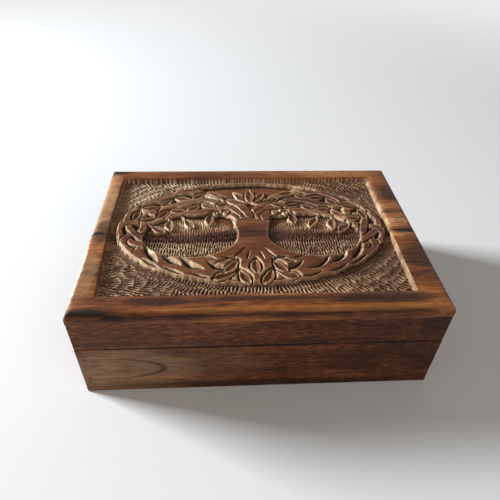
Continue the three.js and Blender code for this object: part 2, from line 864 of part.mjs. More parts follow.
const wallHeights = [['low', baseThick + nailEdge], ['high', rimZ - nailEdge]];
const bodyNails = [...cornerNails('body', 'wall', wallThick, wallHeights), ...baseNails()];
const lidNails = cornerNails('lid', 'rail', railThick, [['', railHeight / 2]]);
driveNails(bodyNails, wood);
driveNails(lidNails, wood);

// The pivot lies on the hinge line, so turning it about X opens the lid
const box = new THREE.Group();
const pivot = new THREE.Group();
const lid = new THREE.Group();
pivot.position.set(0, hingeY, hingeZ);
lid.position.set(0, -hingeY, rimZ + seamGap - hingeZ);
pivot.add(lid);
box.add(pivot);

for (const [name, body] of Object.entries(wood)) {
  const isPlank = name.endsWith('plank');
  const home = name.startsWith('lid') ? lid : box;
  home.add(mesh(name, body, isPlank ? plankWood : frameWood));
}

function addNails(nails, home) {
  for (const { name, at, way } of nails) {
    const nail = mesh(name, solid(turned(nailProfile(0), nailSides)), steel);
    nail.position.copy(at);
    nail.quaternion.copy(nailTurn(way));
    home.add(nail);
  }
}

addNails(bodyNails, box);
addNails(lidNails, lid);

function addScrew(name, home, x, y, z, side) {
  const screw = mesh(name, solid(turned(screwProfile(0), screwSides)), brass);
  screw.position.set(x, y, z + leafLevels(side).face);
  if (side > 0) screw.rotation.x = Math.PI;
  home.add(screw);
}

const { bodyLeaf, lidLeaf, pin } = hingePieces();
for (const [name, x] of hingePlaces) {
  const lower = mesh(`hinge_${name}_body_leaf`, bodyLeaf, brass);
  const upper = mesh(`hinge_${name}_lid_leaf`, lidLeaf, brass);
  const axle = mesh(`hinge_${name}_pin`, pin, brass);
  lower.position.set(x, hingeY, hingeZ);
  axle.position.set(x, hingeY, hingeZ);
  upper.position.set(x, 0, 0);
  box.add(lower, axle);
  pivot.add(upper);
  for (const [side, dx] of [['left', -screwX], ['right', screwX]]) {
    addScrew(`hinge_${name}_body_screw_${side}`, box, x + dx, hingeY + screwY, hingeZ, -1);
    addScrew(`hinge_${name}_lid_screw_${side}`, pivot, x + dx, screwY, 0, 1);
  }
}

export default box;
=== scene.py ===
from math import atan2, cos, pi, radians, sin

import bmesh
import bpy
import numpy as np
from mathutils import Matrix, Vector


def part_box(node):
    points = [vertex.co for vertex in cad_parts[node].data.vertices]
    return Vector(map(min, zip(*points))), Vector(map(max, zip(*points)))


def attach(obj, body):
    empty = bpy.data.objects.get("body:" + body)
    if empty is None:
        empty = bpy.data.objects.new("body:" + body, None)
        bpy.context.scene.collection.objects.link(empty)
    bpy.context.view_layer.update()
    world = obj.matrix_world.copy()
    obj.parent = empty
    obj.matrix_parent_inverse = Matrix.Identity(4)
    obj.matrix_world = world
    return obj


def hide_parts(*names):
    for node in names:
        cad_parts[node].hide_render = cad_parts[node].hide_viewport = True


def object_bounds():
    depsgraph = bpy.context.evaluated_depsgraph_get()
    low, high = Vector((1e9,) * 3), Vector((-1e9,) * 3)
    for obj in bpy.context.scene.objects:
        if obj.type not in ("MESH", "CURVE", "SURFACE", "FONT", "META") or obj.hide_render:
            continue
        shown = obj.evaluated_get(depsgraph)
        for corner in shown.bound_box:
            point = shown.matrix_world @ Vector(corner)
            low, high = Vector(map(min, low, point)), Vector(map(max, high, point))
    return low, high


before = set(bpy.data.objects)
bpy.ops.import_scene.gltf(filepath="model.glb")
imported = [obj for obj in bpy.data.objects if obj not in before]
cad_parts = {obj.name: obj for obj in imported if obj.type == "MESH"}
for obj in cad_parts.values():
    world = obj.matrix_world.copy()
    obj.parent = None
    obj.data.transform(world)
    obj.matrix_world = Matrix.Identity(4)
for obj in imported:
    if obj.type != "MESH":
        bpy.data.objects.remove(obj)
cadLow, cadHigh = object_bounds()
print("frame loaded:", len(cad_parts), "nodes")

# Lengths in this script are millimetres, in the frame's own axes. Meshes are made in metres.
mm = 0.001


def boxOf(node):
    low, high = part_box(node)
    return low / mm, high / mm


wholeLow, wholeHigh = cadLow / mm, cadHigh / mm
frontPlankLow, frontPlankHigh = boxOf("lid_front_plank")
rearPlankHigh = boxOf("lid_rear_plank")[1]
frontWallLow, frontWallHigh = boxOf("body_front_wall")
wallThickness = frontWallHigh.y - frontWallLow.y
topLevel = frontPlankHigh.z
plankUnderside = frontPlankLow.z
jointY = frontPlankHigh.y


# shader maths

# A socket that takes part in Python expressions. Each operator adds its Math node.
class Wire:
    def __init__(self, shader, socket):
        self.shader = shader
        self.socket = socket

    def maths(self, operation, first, second=None):
        return self.shader.node("ShaderNodeMath", {"operation": operation}, {0: first, 1: second})

    def __add__(self, other):
        return self.maths("ADD", self, other)

    def __radd__(self, other):
        return self.maths("ADD", other, self)

    def __sub__(self, other):
        return self.maths("SUBTRACT", self, other)

    def __rsub__(self, other):
        return self.maths("SUBTRACT", other, self)

    def __mul__(self, other):
        return self.maths("MULTIPLY", self, other)

    def __rmul__(self, other):
        return self.maths("MULTIPLY", other, self)

    def __truediv__(self, other):
        return self.maths("DIVIDE", self, other)

    def __pow__(self, other):
        return self.maths("POWER", self, other)

    def maximum(self, other):
        return self.maths("MAXIMUM", self, other)

    def absolute(self):
        return self.maths("ABSOLUTE", self)


class Shader:
    def __init__(self, name, owner=None):
        self.material = owner or bpy.data.materials.new(name)
        self.material.use_nodes = True
        self.tree = self.material.node_tree
        self.tree.nodes.clear()

    def node(self, kind, settings=None, inputs=None, output=0):
        made = self.tree.nodes.new(kind)
        for name, value in (settings or {}).items():
            if name == "stops":
                self.setStops(made.color_ramp, value)
            else:
                setattr(made, name, value)
        for key, value in (inputs or {}).items():
            if isinstance(value, Wire):
                self.tree.links.new(value.socket, made.inputs[key])
            elif value is not None:
                made.inputs[key].default_value = value
        return Wire(self, made.outputs[output]) if made.outputs else None

    def setStops(self, ramp, stops):
        while len(ramp.elements) < len(stops):
            ramp.elements.new(1.0)
        for element, (position, colour) in zip(ramp.elements, stops):
            element.position = position
            element.color = colour

    def place(self):
        return self.node("ShaderNodeTexCoord", output="Object")

    def stretched(self, place, scale, move=(0, 0, 0)):
        return self.node("ShaderNodeMapping", {}, {0: place, "Location": move, "Scale": scale})

    def noise(self, vector, scale=1.0, detail=3.0, roughness=0.5):
        inputs = {"Vector": vector, "Scale": scale, "Detail": detail, "Roughness": roughness}
        return self.node("ShaderNodeTexNoise", {}, inputs, "Fac")

    # 0 at start and before it, 1 at end and past it, and smooth between them
    def ease(self, value, start, end):
        settings = {"interpolation_type": "SMOOTHSTEP"}
        inputs = {"Value": value, "From Min": start, "From Max": end}
        if start > end:
            inputs.update({"From Min": end, "From Max": start, "To Min": 1.0, "To Max": 0.0})
        return self.node("ShaderNodeMapRange", settings, inputs)

    def blend(self, mask, first, second):
        return self.node("ShaderNodeMix", {"data_type": "RGBA"}, {0: mask, 6: first, 7: second}, 2)

    def attribute(self, name):
        return self.node("ShaderNodeAttribute", {"attribute_name": name}, {}, "Fac")

    def axes(self, place):
        made = self.node("ShaderNodeSeparateXYZ", {}, {0: place})
        outputs = made.socket.node.outputs
        return [Wire(self, outputs[axis]) for axis in "XYZ"]

    def bump(self, height, distance, strength=1.0):
        inputs = {"Height": height, "Distance": distance, "Strength": strength}
        return self.node("ShaderNodeBump", {}, inputs)

    def surface(self, inputs):
        shader = self.node("ShaderNodeBsdfPrincipled", {}, inputs)
        self.node("ShaderNodeOutputMaterial", {}, {"Surface": shader})
        return self.material


def paint(code):
    parts = [int(code[i:i + 2], 16) / 255 for i in (0, 2, 4)]
    linear = [p / 12.92 if p <= 0.04045 else ((p + 0.055) / 1.055) ** 2.4 for p in parts]
    return (*linear, 1.0)


# wood

# The darkest tone serves the burns and pores, and also paints shade in the carving's hollows; the cut tone,
# pale as fresh cuts, also paints highlights
woodTones = {
    "pale": paint("caa57d"),
    "light": paint("a66e41"),
    "middle": paint("7a4422"),
    "deep": paint("4a2615"),
    "charAndShade": paint("1c100a"),
    "bare": paint("b58a5e"),
    "cut": paint("f2dcb6"),
    "stain": paint("4a2516"),
    "amber": paint("bd7c40"),
}

# Marks on the outside, each as centre, half lengths and strength: mostly burns and dark streaks, with
# painted shade at the seams and on the right-hand ground
burnsAndShade = {
    "rear left corner": ((-120, 87, 80), (18, 8, 14), 1.0),
    "left border at the joint": ((-117, -4, 83), (8, 15, 5), 0.7),
    "joint notch left": ((-122, -6, 83), (10, 2.6, 6), 1.0),
    "joint notch right": ((119, -7, 83), (13, 3.2, 6), 1.0),
    "heart streak": ((0, -7.0, 80), (125, 8.0, 7), 0.95),
    "trunk": ((2, -12, 84), (15, 17, 3), 0.5),
    "right border rear": ((121, 47, 83), (10, 14, 8), 0.8),
    "right border middle": ((117, 20, 83), (12, 5, 8), 0.6),
    "right border front": ((119, -38, 83), (12, 18, 8), 0.75),
    "front border": ((24, -77, 84), (96, 3.0, 3), 0.65),
    "front left end": ((-112, -85.8, 81.6), (22, 4.2, 3.6), 1.0),
    "front edge spot": ((-96, -88.5, 79.0), (10, 3, 2.4), 1.0),
    "front border left": ((-70, -78.5, 83), (27, 5, 3), 0.75),
    "front edge streak": ((4, -88.6, 79.3), (112, 3, 1.3), 0.65),
    "front edge right": ((88, -89, 80), (38, 5, 2.2), 0.65),
    "front wall right": ((96, -89, 30), (50, 4, 22), 0.55),
    "rail right end": ((119, -89, 60), (12, 4, 16), 0.5),
    "right border": ((121, 0, 83), (9, 84, 8), 0.3),
    "front wall foot": ((10, -89, 5), (120, 4, 4), 0.5),
    "rail right": ((60, -89, 52), (60, 4, 4), 0.35),
    # the two seams: painted shade in the gap between lid and body
    "seam": ((0, -90, 48.15), (140, 5, 1.0), 1.0),
    "seam right": ((88, -90, 48.3), (48, 5, 1.6), 1.0),
    "crown right": ((50, 38, 80), (38, 13, 7), 0.8),
    "right hollow front": ((52, -21, 79), (34, 7, 6), 0.3),
    # these two: painted shade on the ground away from the window, over a darker stain
    "rear right ground": ((86, 56, 79), (26, 16, 6), 0.25),
    "front right ground": ((90, -50, 79), (40, 28, 7), 0.35),
    "front border right": ((84, -78.5, 83.5), (40, 6.5, 3), 0.85),
    "rear border": ((10, 83, 83), (130, 8, 4), 0.25),
    "rail left": ((-100, -89, 62), (40, 4, 14), 0.3),
    "oval right end": ((90, 4, 80), (18, 42, 7), 0.55),
}
# Painted light: patches where the window at the left lightens the wood, as centre, half lengths and
# strength
windowLitPatches = {
    "left border": ((-121, 34, 83), (7.0, 48, 7), 0.55),
    "left border front": ((-119, -52, 83), (6, 26, 7), 0.3),
    "left edge": ((-127, 30, 80), (3.4, 50, 5), 0.7),
    "rear left cuts": ((-46, 67, 80), (36, 6, 6), 0.9),
    "left hollow": ((-60, 8, 79), (30, 7, 6), 0.7),
    "right hollow": ((52, 9, 79), (30, 6, 6), 0.2),
    "left hollow front": ((-62, -22, 79), (34, 6, 6), 0.6),
    "rear left ground": ((-94, 44, 79), (18, 24, 6), 0.65),
    "crown left": ((-52, 40, 80.5), (44, 15, 6), 0.4),
    "front wall left": ((-92, -89, 22), (54, 4, 27), 0.38),
    "front wall middle": ((-40, -89, 26), (44, 4, 24), 0.12),
}
# A warm painted highlight along the front rounded edge, as centre, half lengths and strength
warmHighlightPatches = {
    "front edge left": ((-28, -86.2, 82.4), (76, 2.4, 1.6), 0.6),
    "front edge right": ((70, -86.6, 82), (60, 3.4, 1.8), 0.65),
    "front edge foot": ((-10, -89, 75), (120, 3, 1.4), 0.3),
}

# a painted highlight along the lid's rounded left edge, which faces the window
edgeHighlights = {
    "left edge": ((-127.5, -47, 80.5), (4.0, 44, 4.5), 1.0),
}


markEdge = {"ragged": 2.2, "outer": 1.35, "inner": 0.25}


# From 0 to each mark's strength, with a ragged edge between the squared distances outer and inner
def patchMask(shader, axes, patches, ragged):
    mask = 0.0
    for centre, reach, strength in patches.values():
        far = 0
        for axis, middle, half in zip(axes, centre, reach):
            step = (axis - middle * mm) / (half * mm)
            far = step * step + far
        far = far + (ragged - 0.5) * markEdge["ragged"]
        spot = shader.ease(far, markEdge["outer"], markEdge["inner"]) * strength
        mask = spot.maximum(mask)
    return mask


# An arch of growth rings that runs out to the left, as centre, half lengths and rings per half length
archFigure = {
    "centre": (-112.0, 26.0),
    "reach": (50.0, 13.0),
    "rings": 7.0,
    "strength": 0.4,
    "line": 0.7,
}


# What the arch adds to the tone, and where its dark lines run
def woodFigure(shader, x, z, drift):
    across = (x - archFigure["centre"][0] * mm) / (archFigure["reach"][0] * mm)
    up = (z - archFigure["centre"][1] * mm) / (archFigure["reach"][1] * mm)
    far = (across * across + up * up) ** 0.5 + drift * 0.25
    step = shader.node("ShaderNodeCombineXYZ", {}, {0: far * archFigure["rings"], 1: 3.3, 2: 7.1})
    band = shader.noise(step, detail=2) - 0.5
    line = shader.ease((far - 1.0).absolute(), 0.10, 0.0)
    line = line + shader.ease((far - 0.5).absolute(), 0.08, 0.0) * 0.5
    line = line * shader.ease(across, -0.5, 0.6)
    return band * shader.ease(far, 1.5, 1.0) * archFigure["strength"], line * archFigure["line"]


# Repeats per metre of each pattern, along the board and then across it
woodScales = {
    "drift": (7, 26, 26),
    "rings": (5, 130, 130),
    "streaks": (22, 450, 450),
    "carved hairs": (100, 1150, 1150),
    "board hairs": (150, 1500, 1500),
    "pores": (80, 1300, 1300),
    "clouds": (12, 30, 30),
    "ragged": (26, 150, 150),
    "uneven": (90, 130, 130),
    "tool marks": (210, 260, 260),
}


class Grain:
    def __init__(self, shader, place, seed, along, hairScale):
        turn = (0, 0, 0) if along == "X" else (0, 0, pi / 2)
        board = shader.node("ShaderNodeMapping", {}, {0: place, "Location": seed, "Rotation": turn})
        self.drift = shader.noise(shader.stretched(board, woodScales["drift"]), detail=2)
        # slow drift bends the fibres a little
        bend = {0: 0.0, 1: self.drift * 0.016, 2: self.drift * 0.012}
        offset = shader.node("ShaderNodeCombineXYZ", {}, bend)
        fibres = shader.node("ShaderNodeVectorMath", {"operation": "ADD"}, {0: board, 1: offset})
        self.rings = shader.noise(shader.stretched(fibres, woodScales["rings"]), detail=4, roughness=0.6)
        self.streaks = shader.noise(shader.stretched(fibres, woodScales["streaks"]), roughness=0.6)
        self.hairs = shader.noise(shader.stretched(fibres, hairScale), roughness=0.6)
        specks = shader.noise(shader.stretched(fibres, woodScales["pores"]), detail=1)
        self.pores = shader.ease(specks, 0.60, 0.70)
        self.clouds = shader.noise(shader.stretched(board, woodScales["clouds"]))


# What each pattern adds to the tone, which picks a colour between the stops
toneShares = {
    "carved": {"rings": 0.55, "streaks": 0.4, "hairs": 0.7, "clouds": 0.8, "shift": -0.76},
    "board": {"rings": 0.4, "streaks": 0.25, "hairs": 1.15, "clouds": 0.55, "shift": -0.71},
}
toneStops = {"charAndShade": 0.10, "deep": 0.32, "middle": 0.52, "light": 0.72, "pale": 0.92}
woodFinish = {
    "roughness": 0.40,
    "specular": 0.16,
    "bump": 0.12,
    "windowLit": 0.2,
    "pores": 0.5,
    "edgeHighlight": 0.85,
    "toolMarks": 3.0,
}


def woodTone(grain, shares, lift):
    tone = grain.rings * shares["rings"] + grain.streaks * shares["streaks"] + grain.hairs * shares["hairs"]
    return tone + grain.clouds * shares["clouds"] + (lift + shares["shift"])


# Where the field is stained: from its rim down, and between these half lengths and half widths
fieldStain = {
    "from": 0.25,
    "full": 0.45,
    "halfLength": (118, 115),
    "halfWidth": (80, 77),
    "mixed": 0.8,
    "solid": 0.45,
}


# The stained field with its fresh cuts, a painted highlight on the cuts' sides that face the window,
# painted shade darkening its hollows, and raised edges paled as rubbed wood and as painted highlight
def carvedColour(shader, place, axes, grain, colour, marks, cavity):
    windowLit, burnAndShade = marks[:2]
    x, y, z = axes
    stain = shader.ease(z, (topLevel - fieldStain["from"]) * mm, (topLevel - fieldStain["full"]) * mm)
    for axis, (outer, inner) in ((x, fieldStain["halfLength"]), (y, fieldStain["halfWidth"])):
        stain = stain * shader.ease(axis.absolute(), outer * mm, inner * mm)
    stained = shader.blend(0.5, colour, woodTones["stain"])
    colour = shader.blend(stain * fieldStain["mixed"], colour, stained)
    colour = shader.blend(stain * fieldStain["solid"], colour, woodTones["stain"])
    patchy = shader.noise(shader.stretched(place, woodScales["uneven"]), detail=4)
    # pales the cuts as fresh wood, with a painted highlight on the sides that face the window
    fresh = shader.attribute("fresh") * (shader.ease(patchy, 0.36, 0.62) * 0.55 + 0.45)
    paleness = grain.rings * 0.7 + grain.streaks * 0.4 + windowLit * 0.8
    cutWood = shader.blend(paleness, woodTones["light"], woodTones["cut"])
    cutWood = shader.blend(burnAndShade * 0.9, cutWood, woodTones["deep"])
    colour = shader.blend(fresh * (0.9 - burnAndShade * 0.4), colour, cutWood)
    # painted shade: the deeper a place lies below its surroundings, the darker it is painted
    colour = shader.blend(shader.ease(cavity, 0.02, 0.55) * 0.92, colour, woodTones["charAndShade"])
    # raised edges are paled, as rubbed wood and as painted highlight
    return shader.blend(shader.ease(cavity, -0.3, -0.8) * 0.3, colour, woodTones["pale"])


# Faces that the closed box hides are left bare, within these limits and softened over the last part
hiddenFaces = {
    "wallGap": 0.05,
    "wallSoft": 0.1,
    "bottom": (4.3, 4.5),
    "top": (73.8, 73.4),
    "underside": (0.3, 0.1),
    "strength": 0.85,
}


def hiddenMask(shader, axes, carved):
    x, y, z = axes
    if carved:
        start, end = hiddenFaces["underside"]
        return shader.ease(z, (plankUnderside + start) * mm, (plankUnderside + end) * mm)
    mask = 1.0
    for axis, half in ((x, wholeHigh.x), (y, wholeHigh.y)):
        inner = half - wallThickness - hiddenFaces["wallGap"]
        mask = shader.ease(axis.absolute(), (inner + hiddenFaces["wallSoft"]) * mm, inner * mm) * mask
    for start, end in (hiddenFaces["bottom"], hiddenFaces["top"]):
        mask = mask * shader.ease(z, start * mm, end * mm)
    return mask


# Painted window light, burns with some painted shade, figure, pores, a warm painted highlight and a painted
# highlight on the rounded edge, over the plain wood
def weathered(shader, grain, colour, marks, archLine):
    windowLit, burnAndShade, warmHighlight, edgeHighlight = marks
    # painted light from the window pales the wood in its patches
    bright = windowLit * (grain.rings * 0.5 + grain.streaks * 0.5 + woodFinish["windowLit"])
    colour = shader.blend(bright, colour, woodTones["pale"])
    # burns, with painted shade at the seams and on the right-hand ground
    colour = shader.blend(burnAndShade, colour, woodTones["charAndShade"])
    if archLine:
        colour = shader.blend(archLine, colour, woodTones["charAndShade"])
    colour = shader.blend(grain.pores * woodFinish["pores"], colour, woodTones["charAndShade"])
    # a warm painted highlight along the front edge
    glow = warmHighlight * (grain.rings * 0.2 + grain.streaks * 0.3 + grain.hairs * 0.5)
    colour = shader.blend(glow, colour, woodTones["amber"])
    # a painted highlight on the rounded left edge
    return shader.blend(edgeHighlight * woodFinish["edgeHighlight"], colour, woodTones["cut"])


def woodMaterial(name, seed, along="X", carved=False, lift=0.0, figured=False):
    shader = Shader(name)
    place = shader.place()
    axes = shader.axes(place)
    kind = "carved" if carved else "board"
    grain = Grain(shader, place, seed, along, woodScales[kind + " hairs"])
    rings, streaks, hairs, pores = grain.rings, grain.streaks, grain.hairs, grain.pores
    tone = woodTone(grain, toneShares[kind], lift)
    archLine = None
    if figured:
        figure, archLine = woodFigure(shader, axes[0], axes[2], grain.drift)
        tone = tone + figure
    stops = [(position, woodTones[shade]) for shade, position in toneStops.items()]
    colour = shader.node("ShaderNodeValToRGB", {"stops": stops}, {0: tone})
    ragged = shader.noise(shader.stretched(place, woodScales["ragged"]), detail=4, roughness=0.7)
    kinds = (windowLitPatches, burnsAndShade, warmHighlightPatches, edgeHighlights)
    marks = [patchMask(shader, axes, patches, ragged) for patches in kinds]
    colour = weathered(shader, grain, colour, marks, archLine)
    rough = woodFinish["roughness"] + streaks * 0.2 + pores * 0.2
    height = streaks * 0.5 + hairs * 0.25 - pores * 0.6
    if carved:
        cavity = shader.attribute("cavity")
        colour = carvedColour(shader, place, axes, grain, colour, marks, cavity)
        rough = rough + shader.ease(cavity, 0.1, 0.6) * 0.2
        marked = shader.noise(shader.stretched(place, woodScales["tool marks"]), detail=1)
        height = height + marked * woodFinish["toolMarks"]
    hidden = hiddenMask(shader, axes, carved)
    fibre = shader.ease(rings * 0.5 + streaks * 0.5 + hairs * 0.5, 0.6, 0.9)
    bare = shader.blend(fibre * 0.75, woodTones["bare"], woodTones["light"])
    colour = shader.blend(hidden * hiddenFaces["strength"], colour, bare)
    return shader.surface({
        "Base Color": colour,
        "Roughness": rough + hidden * 0.2,
        "Normal": shader.bump(height, woodFinish["bump"] * mm, 0.8),
        "Specular IOR Level": woodFinish["specular"],
    })


# meshes

def newPiece(name, mesh, material, body):
    piece = bpy.data.objects.new(name, mesh)
    bpy.context.scene.collection.objects.link(piece)
    mesh.materials.append(material)
    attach(piece, body)
    return piece


def meshFrom(shape, name):
    mesh = bpy.data.meshes.new(name)
    shape.to_mesh(mesh)
    shape.free()
    return mesh


# carving

def smooth(start, end, value):
    share = np.clip((value - start) / (end - start), 0, 1)
    return share * share * (3 - 2 * share)


# A repeatable number from 0 to 1 for each pair of whole numbers
def scatter(first, second):
    value = np.sin(first * 12.9898 + second * 78.233) * 43758.5453
    return value - np.floor(value)


# The sunk field, as the CAD planks have it
field = {
    "borderLeft": 15.0,
    "borderRight": 20.5,
    "borderFront": 16.0,
    "borderRear": 16.5,
    "leftLean": 2.0,
    "rightLean": 1.0,
    "leftBow": 2.0,
    "depth": 4.5,
    "wall": 0.9,
}
fieldLeft = wholeLow.x + field["borderLeft"]
fieldRight = wholeHigh.x - field["borderRight"]
fieldFront = frontPlankLow.y + field["borderFront"]
fieldRear = rearPlankHigh.y - field["borderRear"]

# The tree in the field: the land that is left standing and the cuts beside it
tree = {
    "gapEnds": 2.5,
    "gapFront": 10.0,
    "gapRear": 5.0,
    "trunkWaist": 25.5,
    "sideDepth": 23.5,
    "crownDepth": 51.0,
    "rootDepth": 30.0,
    "top": 0.5,
    "bed": 4.1,
    "facet": 1.7,
    "slope": 2.3,
    "rim": 2.9,
    "bank": 2.4,
    "seamWidth": 1.7,
    "seamDepth": 2.3,
    "step": 0.5,
    "rimFrom": 0.6,
    "bankFrom": 0.4,
    "bankTurn": 14,
    "bankFade": 0.25,
    "rootRise": 0.5,
    "trunkFlare": 7,
    "trunkTop": 5,
}
boughs = {
    "count": 3,
    "half": 2.4,
    "swell": 0.9,
    "middle": 0.52,
    "swing": 0.37,
    "weave": 54.0,
    "weaveFrom": 48.0,
    "weaveFull": 32.0,
    "ripple": 0.035,
    "rippleLength": 36.0,
    "startGap": 4.6,
    "startOut": 1.8,
    "startDrop": 1.5,
    "crownAngles": (60, 88),
    "swellAngles": (15, 60),
    "rootsFrom": -30.0,
    "seamsFade": (-42.0, -26.0),
    "lowest": -60,
    "stations": 220,
}
ovalX = (fieldLeft + fieldRight) / 2
ovalA = (fieldRight - fieldLeft) / 2 - tree["gapEnds"]
ovalY = (fieldFront + tree["gapFront"] + fieldRear - tree["gapRear"]) / 2
ovalB = (fieldRear - tree["gapRear"] - fieldFront - tree["gapFront"]) / 2
hollowA = (ovalA - tree["sideDepth"] - tree["trunkWaist"] / 2) / 2
hollowB = ovalB - (tree["crownDepth"] + tree["rootDepth"]) / 2
hollowY = ovalY + (tree["rootDepth"] - tree["crownDepth"]) / 2
innerA = ovalA - tree["sideDepth"]
innerB = hollowB + 0.5


# A point of the ring of boughs: angle in degrees from the right end, and 0 to 1 from inside to rim
def ringPoint(angle, share):
    turn = np.radians(angle)
    innerX, innerY = innerA * np.cos(turn), hollowY - ovalY + innerB * np.sin(turn)
    outerX, outerY = ovalA * np.cos(turn), ovalB * np.sin(turn)
    return ovalX + innerX + (outerX - innerX) * share, ovalY + innerY + (outerY - innerY) * share


# The angles along one side of the ring, from the crown to the roots, and the length run so far
ringAngles = np.linspace(boughs["crownAngles"][1], boughs["lowest"], boughs["stations"])
ringStep = np.hypot(*np.diff(np.array(ringPoint(ringAngles, boughs["middle"]))))
ringRun = np.concatenate([[0], np.cumsum(ringStep)])
# the boughs run side by side through the crown and are woven further down
weaving = smooth(boughs["weaveFrom"], boughs["weaveFull"], ringAngles)
ringTurn = np.concatenate([[0], np.cumsum(2 * pi * ringStep / boughs["weave"] * weaving[1:])])


def phaseOf(side):
    return 0 if side > 0 else pi / 3


# How far a hand-held gouge wanders: slowly and quickly, with the lengths of its waves for x and y
hand = {
    "slow": 0.28,
    "quick": 0.12,
    "waves": ((2.6, 1.4, 5.3, 0.9, 2.1), (2.9, 1.3, 4.7, 1.0, -2.3)),
}


def wander(forward, sideways, waves):
    length, swing, bend, quickLength, slant = waves
    slow = np.sin(forward / length + swing * np.sin(sideways / bend))
    return hand["slow"] * slow + hand["quick"] * np.sin(forward / quickLength + sideways / slant)


leafShape = {"vein": 1.9, "edge": 0.3, "ditch": 1.6, "ditchFrom": 0.6, "ditchWidth": 1.8}
berryShape = {"ditch": 2.4, "ditchHalf": 1.3, "ditchAt": 0.8, "dome": 1.1, "dimple": 1.6, "top": -0.3}


class Relief:
    def __init__(self, xLines, yLines):
        self.xLines, self.yLines = xLines, yLines
        x, y = np.meshgrid(xLines, yLines)
        # the shapes are read at places a little off the grid's own
        self.x = x + wander(y, x, hand["waves"][0])
        self.y = y + wander(x, y, hand["waves"][1])
        self.level = np.zeros_like(self.x)

    # rows and columns of the grid within a reach of a stretch from one point to another
    def window(self, x0, x1, y0, y1, reach):
        columns = slice(*np.searchsorted(self.xLines, (min(x0, x1) - reach, max(x0, x1) + reach)))
        rows = slice(*np.searchsorted(self.yLines, (min(y0, y1) - reach, max(y0, y1) + reach)))
        return rows, columns

    # signed depth inside an ellipse, in millimetres
    def inEllipse(self, cx, cy, a, b):
        f = np.hypot((self.x - cx) / a, (self.y - cy) / b)
        slope = np.hypot((self.x - cx) / a ** 2, (self.y - cy) / b ** 2) + 1e-9
        return f * (1 - f) / slope

    # distance from a line of points, and how far along it the nearest point is
    def alongLine(self, px, py, reach):
        near = np.full(self.x.shape, 1e3)
        share = np.zeros(self.x.shape)
        for k in range(len(px) - 1):
            x0, x1, y0, y1 = px[k], px[k + 1], py[k], py[k + 1]
            part = self.window(x0, x1, y0, y1, reach)
            dx, dy = x1 - x0, y1 - y0
            t = ((self.x[part] - x0) * dx + (self.y[part] - y0) * dy) / (dx * dx + dy * dy + 1e-9)
            t = np.clip(t, 0, 1)
            distance = np.hypot(self.x[part] - x0 - t * dx, self.y[part] - y0 - t * dy)
            closer = distance < near[part]
            near[part] = np.where(closer, distance, near[part])
            share[part] = np.where(closer, (k + t) / (len(px) - 1), share[part])
        return near, share

    # a leaf's own axes: along it, and across it with its curve taken out
    def local(self, cx, cy, turn, length, curve):
        part = self.window(cx, cx, cy, cy, length)
        dx, dy = self.x[part] - cx, self.y[part] - cy
        along = dx * cos(turn) + dy * sin(turn)
        across = -dx * sin(turn) + dy * cos(turn) + curve * ((2 * along / length) ** 2 - 0.4)
        return part, along, across

    # a leaf with a cut round it, its two halves falling from the edge to a middle vein
    def leaf(self, cx, cy, turn, length, width, top, curve):
        part, along, across = self.local(cx, cy, turn, length, curve)
        t = np.clip(along / length + 0.5, 0, 1)
        half = width / 2 * np.sin(pi * t ** 0.8) ** 0.85
        beside, beyond = np.abs(across) - half, np.abs(along) - length / 2
        outside = np.hypot(np.maximum(beside, 0), np.maximum(beyond, 0))
        outside = np.where(outside > 0, outside, beside)
        q = np.clip(np.abs(across) / np.maximum(half, 1e-3), 0, 1)
        face = top - leafShape["vein"] * (1 - q ** 1.2) - leafShape["edge"] * q ** 5
        level = self.level[part]
        bank = np.clip(np.abs(outside) - leafShape["ditchFrom"], 0, 9) * leafShape["ditch"]
        ditch = -tree["bed"] + tree["facet"] * bank
        level = np.where(outside < leafShape["ditchWidth"], np.minimum(level, ditch), level)
        self.level[part] = level + (face - level) * smooth(0.3, -0.3, outside)

    # a thin ridge that points away from a leaf's middle, from one distance to another
    def stalk(self, cx, cy, turn, start, end, half, top, fall=2.2, reach=2.5):
        px = cx + start * cos(turn), cx + end * cos(turn)
        py = cy + start * sin(turn), cy + end * sin(turn)
        near = self.alongLine(px, py, reach + 0.5)[0]
        ridge = top - fall * np.maximum(near - half, 0)
        self.level = np.where(near < reach, np.maximum(self.level, ridge), self.level)

    # a spindle-shaped cut with two sloping sides
    def scoop(self, cx, cy, turn, length, width, depth, curve):
        part, along, across = self.local(cx, cy, turn, length, curve)
        half = width / 2 * np.clip(1 - (2 * along / length) ** 2, 0, 1)
        q = np.abs(across) / np.maximum(half, 1e-3)
        level = self.level[part]
        fall = depth * (1 - np.clip(q, 0, 1)) * np.clip(half / width * 2.6, 0, 1)
        cut = np.minimum(level, -tree["top"] - fall)
        inside = (q < 1) & (np.abs(along) < length / 2)
        self.level[part] = np.where(inside, cut, level)

    # a round berry in a ring-shaped cut, with a dimple in its top
    def berry(self, cx, cy, radius):
        part = self.window(cx, cx, cy, cy, 3 * radius)
        far = np.hypot(self.x[part] - cx, self.y[part] - cy)
        level = self.level[part]
        inDitch = 1 - np.abs(far - radius - berryShape["ditchAt"]) / berryShape["ditchHalf"]
        ditch = -tree["top"] - berryShape["ditch"] * np.clip(inDitch, 0, 1)
        level = np.minimum(level, np.where(far < radius + 2, ditch, level))
        dome = berryShape["top"] - berryShape["dome"] * np.clip(far / radius, 0, 1) ** 4
        dome = dome - berryShape["dimple"] * smooth(0.5 * radius, 0, far)
        self.level[part] = np.where(far < radius, dome, level)


